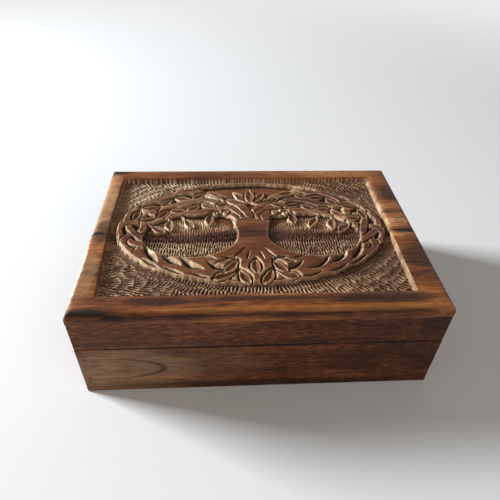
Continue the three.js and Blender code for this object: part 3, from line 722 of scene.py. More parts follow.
# The middle line of one bough, from the top of the trunk round the ring into the roots
def boughLine(side, number):
    turn = ringTurn + phaseOf(side) + 2 * pi * number / boughs["count"]
    wave = 2 * pi * ringRun / boughs["rippleLength"] + 2 * number + side
    share = boughs["middle"] + boughs["swing"] * np.sin(turn)
    share = share + boughs["ripple"] * np.sin(wave) * (1 - weaving)
    x, y = ringPoint(ringAngles, share)
    # 0, 1 or 2 by how near the bough starts to the trunk's middle
    rank = round(1 - np.sin(turn[0]) / sin(pi / 3))
    start = smooth(*boughs["crownAngles"], ringAngles)
    x = x + (ovalX + boughs["startOut"] + boughs["startGap"] * rank - x) * start
    y = y + (hollowY + hollowB - boughs["startDrop"] * rank - y) * start
    half = boughs["half"] + boughs["swell"] * smooth(*boughs["swellAngles"], ringAngles)
    return (x if side > 0 else 2 * ovalX - x), y, np.sin(2 * turn), half


# A place on the ring and the way that the boughs run there, on the right side or mirrored to the left
def ringSpot(side, angle, share):
    x, y = ringPoint(np.array([angle - 0.5, angle, angle + 0.5]), share)
    turn = atan2(y[0] - y[2], x[0] - x[2])
    return (x[1], y[1], turn) if side > 0 else (2 * ovalX - x[1], y[1], pi - turn)


# How far each point lies inside the trunk, which widens towards both ends
def trunkLand(relief):
    across = np.abs(relief.x - ovalX)
    up = relief.y - hollowY
    flare = np.clip(np.abs(up) / (hollowB + 4), 0, 1) ** 4
    half = tree["trunkWaist"] / 2 + tree["trunkFlare"] * flare
    return np.minimum(half - across, hollowB + tree["trunkTop"] - up)


# Flat land with sloping cuts beside it: rim, banks, trunk, roots and the woven boughs
def carveTree(relief, inOval, inHollow, angle):
    rim = np.minimum(inOval - tree["rimFrom"], tree["rim"] - inOval)
    bank = np.minimum(inHollow - tree["bankFrom"], tree["bank"] - inHollow)
    bank = bank - tree["bankFade"] * np.clip(angle - tree["bankTurn"], 0, 90)
    roots = (boughs["rootsFrom"] - angle) * tree["rootRise"]
    land = np.maximum(np.maximum(rim, bank), np.maximum(roots, trunkLand(relief)))
    strands = []
    for side in (1, -1):
        for number in range(boughs["count"]):
            x, y, height, half = boughLine(side, number)
            near, share = relief.alongLine(x, y, half.max() + 6)
            stations = np.linspace(0, 1, len(x))
            strands.append((near, np.interp(share, stations, half), np.interp(share, stations, height)))
    covering = np.full(land.shape, -2.0)
    for near, half, height in strands:
        land = np.maximum(land, half - near)
        covering = np.where(near < half, np.maximum(covering, height), covering)
    seam = np.zeros_like(land)
    for near, half, height in strands:
        gap = np.abs(near - half - tree["seamWidth"] / 2) / (tree["seamWidth"] / 2)
        line = np.clip(1 - gap, 0, 1) * (height > covering) * (near < half + tree["seamWidth"])
        seam = np.maximum(seam, line * smooth(*boughs["seamsFade"], angle))
    cut = np.clip(-land, 0, 9)
    level = np.maximum(-tree["bed"], -tree["top"] - tree["step"] * (cut > 0) - tree["facet"] * cut)
    relief.level = np.minimum(level, -tree["top"] - tree["seamDepth"] * seam)


crownLeaves = {
    "spacing": 13.5,
    "length": 15.0,
    "width": 6.4,
    "top": -0.9,
    "lean": 24.0,
    "from": 20.0,
    "to": 92.0,
    "laneShift": (5, 6),
    "lanes": (0.345, 0.695),
}


# Leaves in the two lanes between the boughs of the crown
def carveCrownLeaves(relief):
    length, width, top = crownLeaves["length"], crownLeaves["width"], crownLeaves["top"]
    startShift, endShift = crownLeaves["laneShift"]
    for side in (1, -1):
        for lane, share in enumerate(crownLeaves["lanes"]):
            run = crownLeaves["from"] + startShift * lane
            number = 0
            while run < crownLeaves["to"] + endShift * lane:
                angle = float(np.interp(run, ringRun, ringAngles))
                lean = radians(crownLeaves["lean"]) * (1 if (number + lane) % 2 else -1)
                x, y, turn = ringSpot(side, angle, share)
                relief.leaf(x, y, turn + pi + side * lean, length, width, top, side)
                run += crownLeaves["spacing"]
                number += 1


rootCuts = {
    "first": -36.0,
    "step": 12.5,
    "count": 4,
    "share": (0.50, 0.44),
    "length": 27.0,
    "shorter": 2,
    "width": 7.6,
    "depth": 4.6,
    "lean": 27.0,
    "leanStep": 3,
    "curve": 1.4,
    # thin cuts at the inside and the rim, as angle past the wide cut, share, turn, length and curve
    "thin": ((-5, 0.12, 0.16, 17, -0.8), (-7, 0.86, 0.10, 20, 0.6)),
    "thinWidth": 3.4,
    "thinDepth": 2.6,
}


def carveRootCuts(relief):
    for side in (1, -1):
        for number in range(rootCuts["count"]):
            angle = rootCuts["first"] - rootCuts["step"] * number
            x, y, turn = ringSpot(side, angle, rootCuts["share"][number % 2])
            lean = turn + side * radians(rootCuts["lean"] - rootCuts["leanStep"] * number)
            length = rootCuts["length"] - rootCuts["shorter"] * number
            relief.scoop(x, y, lean, length, rootCuts["width"], rootCuts["depth"], side * rootCuts["curve"])
            for past, share, lean, length, curve in rootCuts["thin"]:
                x, y, turn = ringSpot(side, angle + past, share)
                turn = turn + side * lean
                relief.scoop(x, y, turn, length, rootCuts["thinWidth"], rootCuts["thinDepth"], side * curve)


# Long shallow cuts along the outer boughs of the crown, as angle, share, length, width and depth
crownCuts = {
    "places": (
        (86, 0.90, 26, 2.4, 2.6),
        (72, 0.93, 20, 2.2, 2.4),
        (76, 0.83, 18, 2.4, 2.4),
        (60, 0.88, 20, 2.4, 2.2),
        (47, 0.92, 16, 2.4, 2.0),
        (80, 0.50, 15, 2.4, 2.2),
        (66, 0.72, 14, 2.2, 2.2),
        (10, 0.93, 13, 2.2, 1.8),
        (-12, 0.90, 12, 2.2, 1.8),
    ),
    "offset": 2,
    "turn": 0.07,
    "curve": 0.7,
}


def carveCrownCuts(relief):
    for side in (1, -1):
        for angle, share, length, width, depth in crownCuts["places"]:
            x, y, turn = ringSpot(side, angle - side * crownCuts["offset"], share)
            turn = turn + side * crownCuts["turn"]
            relief.scoop(x, y, turn, length, width, depth, side * crownCuts["curve"])


# Cuts where the trunk runs out into the roots, each as distance out, distance up, slant and length
barkCuts = {
    "places": ((11, -22, 40, 20), (25, -31, 66, 22), (5, -25, 14, 12)),
    "width": 2.2,
    "depth": 1.7,
    "curve": 0.8,
}


def carveBark(relief):
    width, depth, curve = barkCuts["width"], barkCuts["depth"], barkCuts["curve"]
    for side in (1, -1):
        for out, up, slant, length in barkCuts["places"]:
            turn = radians(-90 + side * slant)
            relief.scoop(ovalX + side * out, hollowY + up, turn, length, width, depth, side * curve)


hangingLeaves = {
    "angles": (66, 52, 38, 25),
    "shares": (-0.03, -0.08),
    "leans": (12, -22),
    "length": 14.5,
    "width": 7.6,
    "top": -1.2,
    "curve": 0.8,
    "stalkFrom": 6.5,
    "stalkTo": 12,
    "stalkHalf": 0.7,
    "stalkTop": -1.4,
}


# Leaves that hang from the boughs over the two hollows
def carveHangingLeaves(relief):
    length, width, top = hangingLeaves["length"], hangingLeaves["width"], hangingLeaves["top"]
    start, end = hangingLeaves["stalkFrom"], hangingLeaves["stalkTo"]
    for side in (1, -1):
        for number, angle in enumerate(hangingLeaves["angles"]):
            x, y, turn = ringSpot(side, angle, hangingLeaves["shares"][number % 2])
            way = turn + side * (pi / 2 + radians(hangingLeaves["leans"][number % 2]))
            relief.leaf(x, y, way, length, width, top, hangingLeaves["curve"])
            upward = way if sin(way) > 0 else way + pi
            relief.stalk(x, y, upward, start, end, hangingLeaves["stalkHalf"], hangingLeaves["stalkTop"])


# The leaves and berries round the trunk's two ends. Places are out from the middle line and up
# from the hollows' ends, turns are from upright, and the last number of a leaf is its curve.
trunkEnds = {
    "fanUp": 18,
    "fanOut": 12.5,
    "fanTurn": 38,
    "fanOrder": (-2, 2, -1, 1, 0),
    "fanLeaf": (21, 8.4, -0.7),
    "fanCurve": 0.8,
    "berries": ((20, 4.5, 3.0), (28.5, 3.0, 2.8)),
    "rootDown": 7,
    "rootLeaves": ((22, -13.5, 66, 18, 7.6, 1), (8.5, -15, -28, 16, 7.4, -1), (17, -4.5, 38, 16, 7.4, 1)),
    "rootTop": -0.5,
    "lastLeaf": (15, 8.0, -0.4),
    "lastUp": -4.5,
}


def carveTrunkEnds(relief):
    crownY = hollowY + hollowB + trunkEnds["fanUp"]
    rootY = hollowY - hollowB - trunkEnds["rootDown"]
    upright = pi / 2
    for number in trunkEnds["fanOrder"]:
        turn = upright + radians(trunkEnds["fanTurn"]) * number
        x, y = ovalX + trunkEnds["fanOut"] * cos(turn), crownY + trunkEnds["fanOut"] * sin(turn)
        relief.leaf(x, y, turn, *trunkEnds["fanLeaf"], trunkEnds["fanCurve"] * number)
    for side in (1, -1):
        for out, up, radius in trunkEnds["berries"]:
            relief.berry(ovalX + side * out, hollowY + hollowB + up, radius)
        for out, up, lean, length, width, curve in trunkEnds["rootLeaves"]:
            turn = upright + side * radians(lean)
            x, y = ovalX + side * out, rootY + up
            relief.leaf(x, y, turn, length, width, trunkEnds["rootTop"], side * curve)
    relief.leaf(ovalX, rootY + trunkEnds["lastUp"], upright, *trunkEnds["lastLeaf"], 0)


gouges = {
    "pitch": 2.0,
    "rowDepth": 6.0,
    "flatDepth": 9.0,
    "flatFrom": 7.0,
    "flatCorner": 0.55,
    "cut": 2.1,
    "lift": 0.5,
    "notch": 1.1,
    "notchWidth": 2.4,
    "shallow": 0.35,
    "rowJitter": 0.42,
    "rowShift": 0.35,
    "depthJitter": 0.45,
    "ridgeJitter": 0.4,
}


# Short gouge cuts in broken rows: how deep each point lies in its cut, and how near a ridge, 0 to 1
def gougeCuts(row, along):
    along = along + 0.15 * np.sin(1.3 * row) + 0.12 * np.sin(3.1 * row + 0.4 * along)
    rowNumber = np.floor(row + gouges["rowJitter"] * scatter(np.floor(along), 3.0))
    along = along + 0.5 * (rowNumber % 2) + gouges["rowShift"] * scatter(rowNumber, 9.0)
    number = np.floor(along)
    shifted = row + gouges["rowJitter"] * scatter(number, 3.0)
    rowNumber = np.floor(shifted)
    chance = scatter(rowNumber, number)
    out = np.abs(2 * (along - number) - 1)
    length = np.sin(pi * np.clip((shifted - rowNumber) * 1.1 - 0.1 * chance, 0, 1)) ** 0.5
    cuts = (1 - out ** 2.2) * length * (1 - gouges["depthJitter"] * (1 - chance))
    ridges = smooth(0.4, 0.9, out) * (1 - gouges["ridgeJitter"] * (1 - scatter(number, rowNumber + 5)))
    return cuts, ridges


# Ground level of a set of cuts
def groundLevel(cuts):
    return gouges["lift"] - field["depth"] - gouges["cut"] * cuts


# The ground outside the tree, in rows round it, and small notches in the tree's rim
def carveOuterGround(relief, inOval):
    x, y = relief.x, relief.y
    turn = np.arctan2((y - ovalY) / ovalB, (x - ovalX) / ovalA)
    along = turn * (ovalA + ovalB) / 2 / gouges["pitch"]
    cuts, ridge = gougeCuts(-inOval / gouges["rowDepth"], along)
    # in the front left corner the cuts further from the tree run along the box
    corner = (x < ovalX - gouges["flatCorner"] * ovalA) & (y < ovalY)
    flat = corner & (inOval < -gouges["flatFrom"] - 2 * np.sin(y / 5))
    flatRow = x / gouges["flatDepth"] + 0.5 * np.sin(y / 4)
    flatCuts, flatRidge = gougeCuts(flatRow, (y + 0.12 * x) / gouges["pitch"])
    cuts, ridge = np.where(flat, flatCuts, cuts), np.where(flat, flatRidge, ridge)
    cuts = cuts * smooth(0.3, 2.2, insideField(x, y))
    outside = smooth(0.0, -0.4, inOval)
    relief.level = relief.level * (1 - outside) + groundLevel(cuts) * outside
    onRim = (inOval > 0) * smooth(gouges["notchWidth"], 0.6, inOval)
    relief.level = relief.level - gouges["notch"] * cuts * onRim
    return outside * ridge, outside * cuts


# The ground of the hollow on one side, in rows that sag, and notches in the bank in front of it
def carveHollow(relief, side, depthIn):
    x, y = relief.x, relief.y
    cx = ovalX + side * (tree["trunkWaist"] / 2 + hollowA)
    turn = np.arctan2((y - hollowY) / hollowB, (x - cx) / hollowA)
    along = turn * (hollowA + hollowB) / 2 / gouges["pitch"]
    notches = gougeCuts(np.full_like(along, 0.5), along)[0]
    bank = smooth(-2.2, -0.8, depthIn) * smooth(0.2, -0.4, depthIn) * smooth(5, -3, y - hollowY)
    relief.level = relief.level - gouges["notch"] * notches * bank
    row = (hollowY - y - 3 * np.cos((x - cx) / 20)) / gouges["rowDepth"]
    cuts, ridge = gougeCuts(row, (x - cx) / gouges["pitch"] - 0.35 * side * row)
    # the upper part of the hollow is cut more shallowly
    deeper = smooth(6, 0, y - hollowY + 4 * np.sin(x / 11))
    cuts = cuts * (gouges["shallow"] + (1 - gouges["shallow"]) * deeper)
    low = (depthIn > -0.3) & (relief.level < 0.3 - field["depth"])
    relief.level = np.where(low, groundLevel(cuts), relief.level)
    return low, ridge, cuts


# How far a point lies inside the sunk field
def insideField(x, y):
    lean = (y - (fieldFront + fieldRear) / 2) / (fieldRear - fieldFront)
    left = fieldLeft - 2 * field["leftLean"] * lean - field["leftBow"] * (1 - (2 * lean) ** 2)
    right = fieldRight + 2 * field["rightLean"] * lean
    return np.minimum(np.minimum(x - left, right - x), np.minimum(y - fieldFront, fieldRear - y))


def blurred(values, reach):
    for axis in (0, 1):
        padded = np.concatenate([np.repeat(np.take(values, [0], axis), reach, axis), values,
                                 np.repeat(np.take(values, [-1], axis), reach, axis)], axis)
        total = np.cumsum(np.concatenate([np.zeros_like(np.take(padded, [0], axis)), padded], axis), axis)
        size = values.shape[axis]
        high = np.take(total, range(2 * reach + 1, size + 2 * reach + 1), axis)
        low = np.take(total, range(0, size), axis)
        values = (high - low) / (2 * reach + 1)
    return values


# How the cuts and walls are paled, partly as painted highlight from the window, and how hollows and pits
# are darkened as painted shade
carvedLightAndShade = {
    "onTree": 0.9,
    "freshSlope": (0.6, 1.2),
    "litWall": 0.8,
    "shadedWalls": 0.1,
    "wallSoft": 0.4,
    "blur": 3,
    "pits": 0.42,
    "groundCavity": 0.2,
}


# Carves the field, and says how near a ridge and how deep in a gouge cut each place of it lies
def carveField(relief, inOval, hollows, inHollow):
    angle = np.degrees(np.arctan2((relief.y - hollowY) / innerB, np.abs(relief.x - ovalX) / innerA))
    carveTree(relief, inOval, inHollow, angle)
    carveCrownLeaves(relief)
    carveCrownCuts(relief)
    carveRootCuts(relief)
    carveBark(relief)
    raised = smooth(-0.4, tree["slope"], inOval) * smooth(-0.2, tree["slope"] * 0.7, inHollow)
    relief.level = -field["depth"] + (relief.level + field["depth"]) * raised
    carveHangingLeaves(relief)
    carveTrunkEnds(relief)
    ridges, pits = carveOuterGround(relief, inOval)
    for side, depthIn in hollows:
        low, ridge, cuts = carveHollow(relief, side, depthIn)
        ridges, pits = np.where(low, ridge, ridges), np.where(low, cuts, pits)
    return ridges, pits


# The carved top's level, how hollow each place of it is, and how freshly cut and how lit by the window it
# looks
def carvedTop(xLines, yLines):
    relief = Relief(xLines, yLines)
    inOval = relief.inEllipse(ovalX, ovalY, ovalA, ovalB)
    out = tree["trunkWaist"] / 2 + hollowA
    hollows = [(side, relief.inEllipse(ovalX + side * out, hollowY, hollowA, hollowB)) for side in (1, -1)]
    inHollow = -np.maximum(hollows[0][1], hollows[1][1])
    ridges, pits = carveField(relief, inOval, hollows, inHollow)
    slopeY, slopeX = np.gradient(relief.level, yLines, xLines)
    steep = np.hypot(slopeX, slopeY)
    high = relief.level > carvedLightAndShade["onTree"] - field["depth"]
    onTree = (inOval > 0.2) & ((inHollow > 0.2) | high)
    # the cuts' sides that face the window at the left are paled as painted highlight
    facing = np.clip(0.3 + (slopeX + 0.2 * slopeY) / (steep + 0.01), 0.1, 1)
    fresh = np.where(onTree, smooth(*carvedLightAndShade["freshSlope"], steep) * facing, ridges)
    toWall = insideField(*np.meshgrid(xLines, yLines))
    sunk = smooth(0.0, field["wall"], toWall)
    level = relief.level * sunk
    blur = carvedLightAndShade["blur"]
    # how hollow each place is, with the ground's pits added; the wood's colour paints shade from it in
    # hollows and pales raised edges with it
    cavity = blurred(blurred(level, blur), blur) - level
    cavity = cavity * smooth(0.2, 3.0, toWall)
    pits = carvedLightAndShade["pits"] * pits * smooth(0.2, 1.5, toWall)
    cavity = np.where(onTree, cavity, carvedLightAndShade["groundCavity"] * cavity + pits)
    wallEnd = field["wall"] + carvedLightAndShade["wallSoft"]
    wall = smooth(-0.1, 0.1, toWall) * smooth(wallEnd, field["wall"], toWall)
    # painted highlight: the wall that faces the window is paled strongly, the walls in shade only a little
    facesWindow = relief.x > fieldRight - 5
    wall = wall * np.where(facesWindow, carvedLightAndShade["litWall"], carvedLightAndShade["shadedWalls"])
    return level, cavity, np.maximum(fresh * sunk, wall)


planks = {
    "edgeRound": 5.0,
    "roundSteps": 6,
    "fineStepX": 0.43,
    "fineStepY": 0.48,
    "coarseStep": 2.6,
    "fineLeft": 4.5,
    "fineRight": 1.5,
    "fineEnds": 0.5,
    "jointRound": 0.5,
    "jointStep": 0.25,
    "crease": 50,
}


# Grid lines across a plank: close together over the carving, and in an arc at each rounded edge
def gridLines(low, high, fineLow, fineHigh, fineStep, roundLow=True, roundHigh=True):
    r = planks["edgeRound"]
    arc = r * (1 - np.cos(np.linspace(0, pi / 2, planks["roundSteps"] + 1)))
    jointLines = planks["jointStep"] * np.arange(3)
    start = low + (arc if roundLow else jointLines)
    end = high - (arc if roundHigh else jointLines)[::-1]
    middleLines = []
    position = start[-1]
    while position < end[0] - 0.01:
        fine = fineLow <= position < fineHigh
        position += fineStep if fine else planks["coarseStep"]
        middleLines.append(position)
    span = (end[0] - start[-1]) / (middleLines[-1] - start[-1])
    middleLines = start[-1] + (np.array(middleLines) - start[-1]) * span
    return np.concatenate([start, middleLines[:-1], end])


def roundDrop(inside, radius):
    reach = np.clip(radius - inside, 0, radius)
    return radius - np.sqrt(radius ** 2 - reach ** 2)


# Height of a plank's top, with its outer edges rounded over and the joint's arris eased
def plankTop(low, high, isFront, xLines, yLines, level):
    x, y = np.meshgrid(xLines, yLines)
    endways = np.minimum(x - low.x, high.x - x)
    fromFront, fromRear = y - low.y, high.y - y
    outer, joint = (fromFront, fromRear) if isFront else (fromRear, fromFront)
    drop = np.maximum(roundDrop(endways, planks["edgeRound"]), roundDrop(outer, planks["edgeRound"]))
    drop = np.maximum(drop, roundDrop(joint, planks["jointRound"]) * (level > -1))
    return topLevel + level - drop


# A grid bent to the height z, with sides, an underside and the values that its finish reads
def plankShape(xLines, yLines, z, values):
    shape = bmesh.new()
    columns, rows = len(xLines) - 1, len(yLines) - 1
    bmesh.ops.create_grid(shape, x_segments=columns, y_segments=rows, size=1)
    layers = {name: shape.verts.layers.float.new(name) for name in values}
    for vert in shape.verts:
        column = round((vert.co.x + 1) / 2 * columns)
        row = round((vert.co.y + 1) / 2 * rows)
        vert.co = Vector((xLines[column], yLines[row], z[row, column])) * mm
        for name, layer in layers.items():
            vert[layer] = values[name][row, column]
    # the border is drawn down to the underside and closed there
    border = [edge for edge in shape.edges if edge.is_boundary]
    skirt = bmesh.ops.extrude_edge_only(shape, edges=border)["geom"]
    for vert in (part for part in skirt if isinstance(part, bmesh.types.BMVert)):
        vert.co.z = plankUnderside * mm
        for layer in layers.values():
            vert[layer] = 0
    rim = [edge for edge in shape.edges if edge.is_boundary]
    bmesh.ops.holes_fill(shape, edges=rim, sides=0)
    bmesh.ops.recalc_face_normals(shape, faces=shape.faces)
    return shape


def carvedPlank(node, material):
    low, high = boxOf(node)
    isFront = abs(high.y - jointY) < 0.01
    fineX = fieldLeft - planks["fineLeft"], fieldRight + planks["fineRight"]
    fineY = fieldFront - planks["fineEnds"], fieldRear + planks["fineEnds"]
    xLines = gridLines(low.x, high.x, *fineX, planks["fineStepX"])
    yLines = gridLines(low.y, high.y, *fineY, planks["fineStepY"], isFront, not isFront)
    level, cavity, fresh = carvedTop(xLines, yLines)
    z = plankTop(low, high, isFront, xLines, yLines, level)
    shape = plankShape(xLines, yLines, z, {"cavity": cavity, "fresh": fresh})
    for face in shape.faces:
        face.smooth = True
    foot = (topLevel - planks["edgeRound"] + 0.1) * mm
    for edge in shape.edges:
        if edge.verts[0].co.z < foot and edge.calc_face_angle(0) > radians(planks["crease"]):
            edge.smooth = False
    name = node + "_carved"
    piece = newPiece(name, meshFrom(shape, name), material, "lid")
    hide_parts(node)
    print(name, len(piece.data.polygons), "faces")


# boards

boards = {
    "arris": 0.45,
    "segments": 2,
    "shortest": 12.0,
    "sharpFrom": 40,
    "lift": -0.08,
}
# how near, in metres, two corners are one, and how flat, in degrees, two faces are one
merging = {"distance": 0.00001, "angle": 1}


# A CAD node's mesh with its doubles merged and its flat faces whole again
def mergedCopy(node):
    shape = bmesh.new()
    shape.from_mesh(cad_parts[node].data)
    flat = radians(merging["angle"])
    bmesh.ops.remove_doubles(shape, verts=shape.verts, dist=merging["distance"])
    bmesh.ops.dissolve_limit(shape, angle_limit=flat, verts=shape.verts, edges=shape.edges)
    return shape


def easedEdges(shape, edges, offset, segments):
    bmesh.ops.bevel(shape, geom=edges, affect="EDGES", offset=offset * mm, offset_type="OFFSET",
                    segments=segments, profile=0.5, material=-1, clamp_overlap=True)


def dressedBoard(node, body, material):
    shape = mergedCopy(node)
    shortest, sharp = boards["shortest"] * mm, radians(boards["sharpFrom"])
    longEdges = [edge for edge in shape.edges
                 if edge.calc_length() > shortest and edge.calc_face_angle(0) > sharp]
    easedEdges(shape, longEdges, boards["arris"], boards["segments"])
    name = node + "_dressed"
    piece = newPiece(name, meshFrom(shape, name), material, body)
    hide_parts(node)


# metal

# Stains and scratches as repeats per metre, and the limits between clean and dulled metal
metalFinish = {
    "stains": 260,
    "scratches": (300, 4200, 4200),
    "dulled": (0.42, 0.62),
    "dullRoughness": 0.22,
    "bump": 0.05,
}


# Metal that is clean in places and dulled between them
def metalMaterial(name, clean, dull, roughness):
    shader = Shader(name)
    place = shader.place()
    stain = shader.noise(place, metalFinish["stains"], detail=4)
    scratch = shader.noise(shader.stretched(place, metalFinish["scratches"]), detail=2)
    mask = shader.ease(stain, *metalFinish["dulled"])
    colour = shader.blend(mask, clean, dull)
    return shader.surface({
        "Base Color": colour,
        "Roughness": roughness + mask * metalFinish["dullRoughness"] + scratch * 0.1,
        "Metallic": 1.0 - mask * 0.15,
        "Normal": shader.bump(scratch * 0.4 + stain * 0.6, metalFinish["bump"] * mm, 0.6),
    })


# make the pieces

# where each plank is cut from the wood, and how light it is
plankWood = {
    "front plank": ((0.31, 0.12, 0.4), 0.02),
    "rear plank": ((0.74, 0.53, 0.1), 0.06),
}
for name, (seed, lift) in plankWood.items():
    wood = woodMaterial(name + " wood", seed, carved=True, lift=lift)
    carvedPlank("lid_" + name.replace(" ", "_"), wood)

boardNodes = {
    "body": ("bottom_board", "body_front_wall", "body_back_wall", "body_left_wall", "body_right_wall"),
    "lid": ("lid_front_rail", "lid_back_rail", "lid_left_rail", "lid_right_rail"),
}
# each board is cut from another place of the same wood
seed = Vector((0.1, 0.2, 0.3))
seedStep = Vector((0.37, 0.61, 0.23))
for body, nodes in boardNodes.items():
    for node in nodes:
        seed = seed + seedStep
        along = "Y" if "_left_" in node or "_right_" in node else "X"
        name = node.replace("_", " ") + " wood"
        wood = woodMaterial(name, tuple(seed), along, lift=boards["lift"], figured="front" in node)
        dressedBoard(node, body, wood)
print("boards dressed")

brass = metalMaterial("aged brass", paint("c9a65a"), paint("7c6232"), 0.28)
steel = metalMaterial("dark steel", paint("403b37"), paint("1b1715"), 0.45)
hinges = {
    # angle between faces, least and greatest, and the bevel that eases such an edge
    "barrel": (15, 45, 0.2),
    "arrises": (60, 120, 0.1),
    "segments": 2,
    "crease": 35,
}


def sharpened(shape, limit):
    for face in shape.faces:
        face.smooth = True
    for edge in shape.edges:
        edge.smooth = edge.calc_face_angle(0) < radians(limit)


# A hinge leaf or pin with its round parts made rounder and its arrises eased
def dressedHinge(node, body):
    shape = mergedCopy(node)
    for least, greatest, offset in (hinges["barrel"], hinges["arrises"]):
        chosen = [edge for edge in shape.edges
                  if radians(least) < edge.calc_face_angle(0) < radians(greatest)]
        easedEdges(shape, chosen, offset, hinges["segments"])
    sharpened(shape, hinges["crease"])
    name = node + "_dressed"
    piece = newPiece(name, meshFrom(shape, name), brass, body)
    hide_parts(node)


screws = {
    "sides": 28,
    "headRim": 0.08,
    "headDepth": 0.6,
    "shankRadius": 0.72,
    "pointLength": 1.6,
    "slotWidth": 0.36,
    "slotLength": 1.9,
    "slotDepth": 0.28,
    "crease": 30,
    "turnStep": 0.9,
}


def headFaces(shape):
    return [face for face in shape.faces if all(abs(vert.co.z) < 0.001 for vert in face.verts)]


# A straight slot in the head, which lies at z = 0
def cutSlot(shape):
    for axis, width in ((0, screws["slotWidth"]), (1, screws["slotLength"])):
        plane = Vector((axis == 0, axis == 1, 0))
        for offset in (width / 2, -width / 2):
            parts = {}
            for face in headFaces(shape):
                parts.update(dict.fromkeys([face, *face.edges, *face.verts]))
            bmesh.ops.bisect_plane(shape, geom=list(parts), plane_co=plane * offset, plane_no=plane)
    slot = [face for face in shape.faces if face.calc_center_median().length < 0.05]
    deep = bmesh.ops.extrude_face_region(shape, geom=slot)["geom"]
    bmesh.ops.delete(shape, geom=slot, context="FACES_ONLY")
    for vert in (part for part in deep if isinstance(part, bmesh.types.BMVert)):
        vert.co.z -= screws["slotDepth"]


# A countersunk wood screw, with its head at the end that shows when the lid is open
def dressedScrew(node, body, turn):
    low, high = boxOf(node)
    centre = (low + high) / 2
    headUp = body == "body"
    length = high.z - low.z
    radius = (high.x - low.x) / 2
    shank = screws["shankRadius"]
    profile = [(0, 0), (radius, 0), (radius, screws["headRim"]), (shank, screws["headDepth"]),
               (shank, length - screws["pointLength"]), (0, length)]
    shape = bmesh.new()
    verts = [shape.verts.new((out, 0, -down)) for out, down in profile]
    edges = [shape.edges.new(pair) for pair in zip(verts, verts[1:])]
    bmesh.ops.spin(shape, geom=verts + edges, axis=(0, 0, 1), cent=(0, 0, 0), steps=screws["sides"],
                   angle=2 * pi, use_merge=True)
    bmesh.ops.remove_doubles(shape, verts=shape.verts, dist=0.001)
    bmesh.ops.dissolve_faces(shape, faces=headFaces(shape))
    cutSlot(shape)
    bmesh.ops.recalc_face_normals(shape, faces=shape.faces)
    head = Vector((centre.x, centre.y, high.z if headUp else low.z))
    place = Matrix.Translation(head * mm) @ Matrix.Rotation(turn, 4, "Z")
    flip = Matrix.Identity(4) if headUp else Matrix.Rotation(pi, 4, "X")
    bmesh.ops.transform(shape, matrix=place @ flip @ Matrix.Scale(mm, 4), verts=shape.verts)
    sharpened(shape, screws["crease"])
    name = node + "_dressed"
    piece = newPiece(name, meshFrom(shape, name), brass, body)
    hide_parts(node)


for number, (name, node) in enumerate(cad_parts.items()):
    body = "lid" if "_lid_" in name else "body"
    if "_screw_" in name:
        dressedScrew(name, body, screws["turnStep"] * number)
    elif name.startswith("hinge"):
        dressedHinge(name, body)
    elif "_pin_" in name:
        node.material_slots[0].material = steel
print("metal finished")

# stage

stage = {
    "size": 9.0,
    "floor": paint("d8d9dc"),
    "floorGrain": paint("b9b5ae"),
    "grainScale": 35,
    "grainShare": 0.06,
    "roughness": 0.85,
    "sky": paint("e9eaeb"),
    "light": paint("f3ece0"),
    "ambient": 0.26,
    "fadeFrom": 0.35,
    "fadeTo": 1.5,
}


# 1 for the rays that see a surface, straight or in a mirror or a glass, and 0 for those that light it
def seeing(shader):
    names = ("Is Camera Ray", "Is Glossy Ray", "Is Transmission Ray")
    camera, mirror, glass = [shader.node("ShaderNodeLightPath", output=name) for name in names]
    return camera.maximum(mirror).maximum(glass)


# Floor paint that turns into the sky's colour further off, so that no horizon shows
def floorPaint(name, colour):
    shader = Shader(name)
    place = shader.place()
    grain = shader.noise(place, stage["grainScale"], detail=3)
    tone = shader.blend(grain * stage["grainShare"], colour, stage["floorGrain"])
    x, y = shader.axes(place)[:2]
    far = shader.ease((x * x + y * y) ** 0.5, stage["fadeFrom"], stage["fadeTo"])
    finish = {"Base Color": tone, "Roughness": stage["roughness"]}
    painted = shader.node("ShaderNodeBsdfPrincipled", {}, finish)
    sky = shader.node("ShaderNodeEmission", {}, {"Color": stage["sky"]})
    mixed = shader.node("ShaderNodeMixShader", {}, {0: far * seeing(shader), 1: painted, 2: sky})
    shader.node("ShaderNodeOutputMaterial", {}, {"Surface": mixed})
    return shader.material


floorShape = bmesh.new()
bmesh.ops.create_grid(floorShape, x_segments=4, y_segments=4, size=stage["size"] / 2)
floorMesh = meshFrom(floorShape, "floor")
floorMesh.materials.append(floorPaint("floor paint", stage["floor"]))
floorSheet = bpy.data.objects.new("floor", floorMesh)
bpy.context.scene.collection.objects.link(floorSheet)

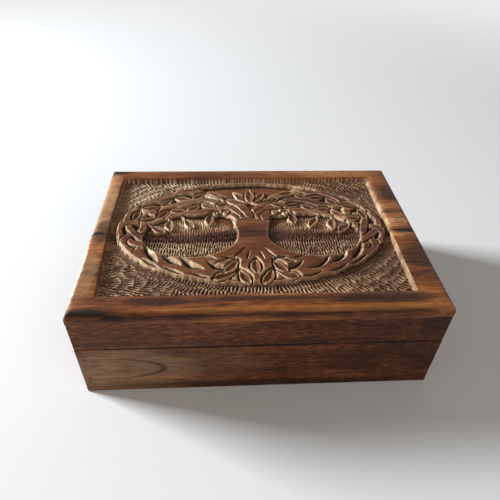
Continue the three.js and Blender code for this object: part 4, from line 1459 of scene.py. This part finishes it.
world = bpy.data.worlds.new("studio")
bpy.context.scene.world = world
studio = Shader("studio", world)
seen = studio.node("ShaderNodeBackground", {}, {"Color": stage["sky"]})
lighting = studio.node("ShaderNodeBackground", {}, {"Color": stage["light"], "Strength": stage["ambient"]})
sky = studio.node("ShaderNodeMixShader", {}, {0: seeing(studio), 1: lighting, 2: seen})
studio.node("ShaderNodeOutputWorld", {}, {"Surface": sky})

# Places are millimetres, and each lamp is a square with this side
lamps = {
    "window": {
        "at": (-2200, 726, 1028),
        "aim": (0, 0, 60),
        "side": 660,
        "power": 140,
        "colour": (0.94, 0.98, 1.0),
    },
    "fill": {
        "at": (500, -900, 900),
        "aim": (0, 0, 40),
        "side": 900,
        "power": 4,
        "colour": (1.0, 0.94, 0.86),
    },
}


def lamp(name, at, aim, side, power, colour):
    light = bpy.data.lights.new(name, "AREA")
    light.size = side * mm
    light.energy = power
    light.color = colour
    holder = bpy.data.objects.new(name, light)
    holder.location = Vector(at) * mm
    way = Vector(aim) - Vector(at)
    holder.rotation_euler = way.to_track_quat("-Z", "Y").to_euler()
    bpy.context.scene.collection.objects.link(holder)


for name, choice in lamps.items():
    lamp(name, **choice)

view = {
    "at": (-25.60, -282.81, 297.94),
    "heading": -4.372,
    "tilt": 49.872,
    "roll": 1.977,
    "lens": 32.52,
    "sensor": 36.0,
    "clip": (0.01, 50),
}
cameraData = bpy.data.cameras.new("camera")
cameraData.lens = view["lens"]
cameraData.sensor_width = view["sensor"]
cameraData.clip_start, cameraData.clip_end = view["clip"]
camera = bpy.data.objects.new("camera", cameraData)
bpy.context.scene.collection.objects.link(camera)
camera.matrix_world = (Matrix.Translation(Vector(view["at"]) * mm)
                       @ Matrix.Rotation(radians(view["heading"]), 4, "Z")
                       @ Matrix.Rotation(radians(view["tilt"]), 4, "X")
                       @ Matrix.Rotation(radians(view["roll"]), 4, "Z"))
bpy.context.scene.camera = camera
bpy.context.scene.view_settings.view_transform = "Standard"
print("stage, lamps and camera set")
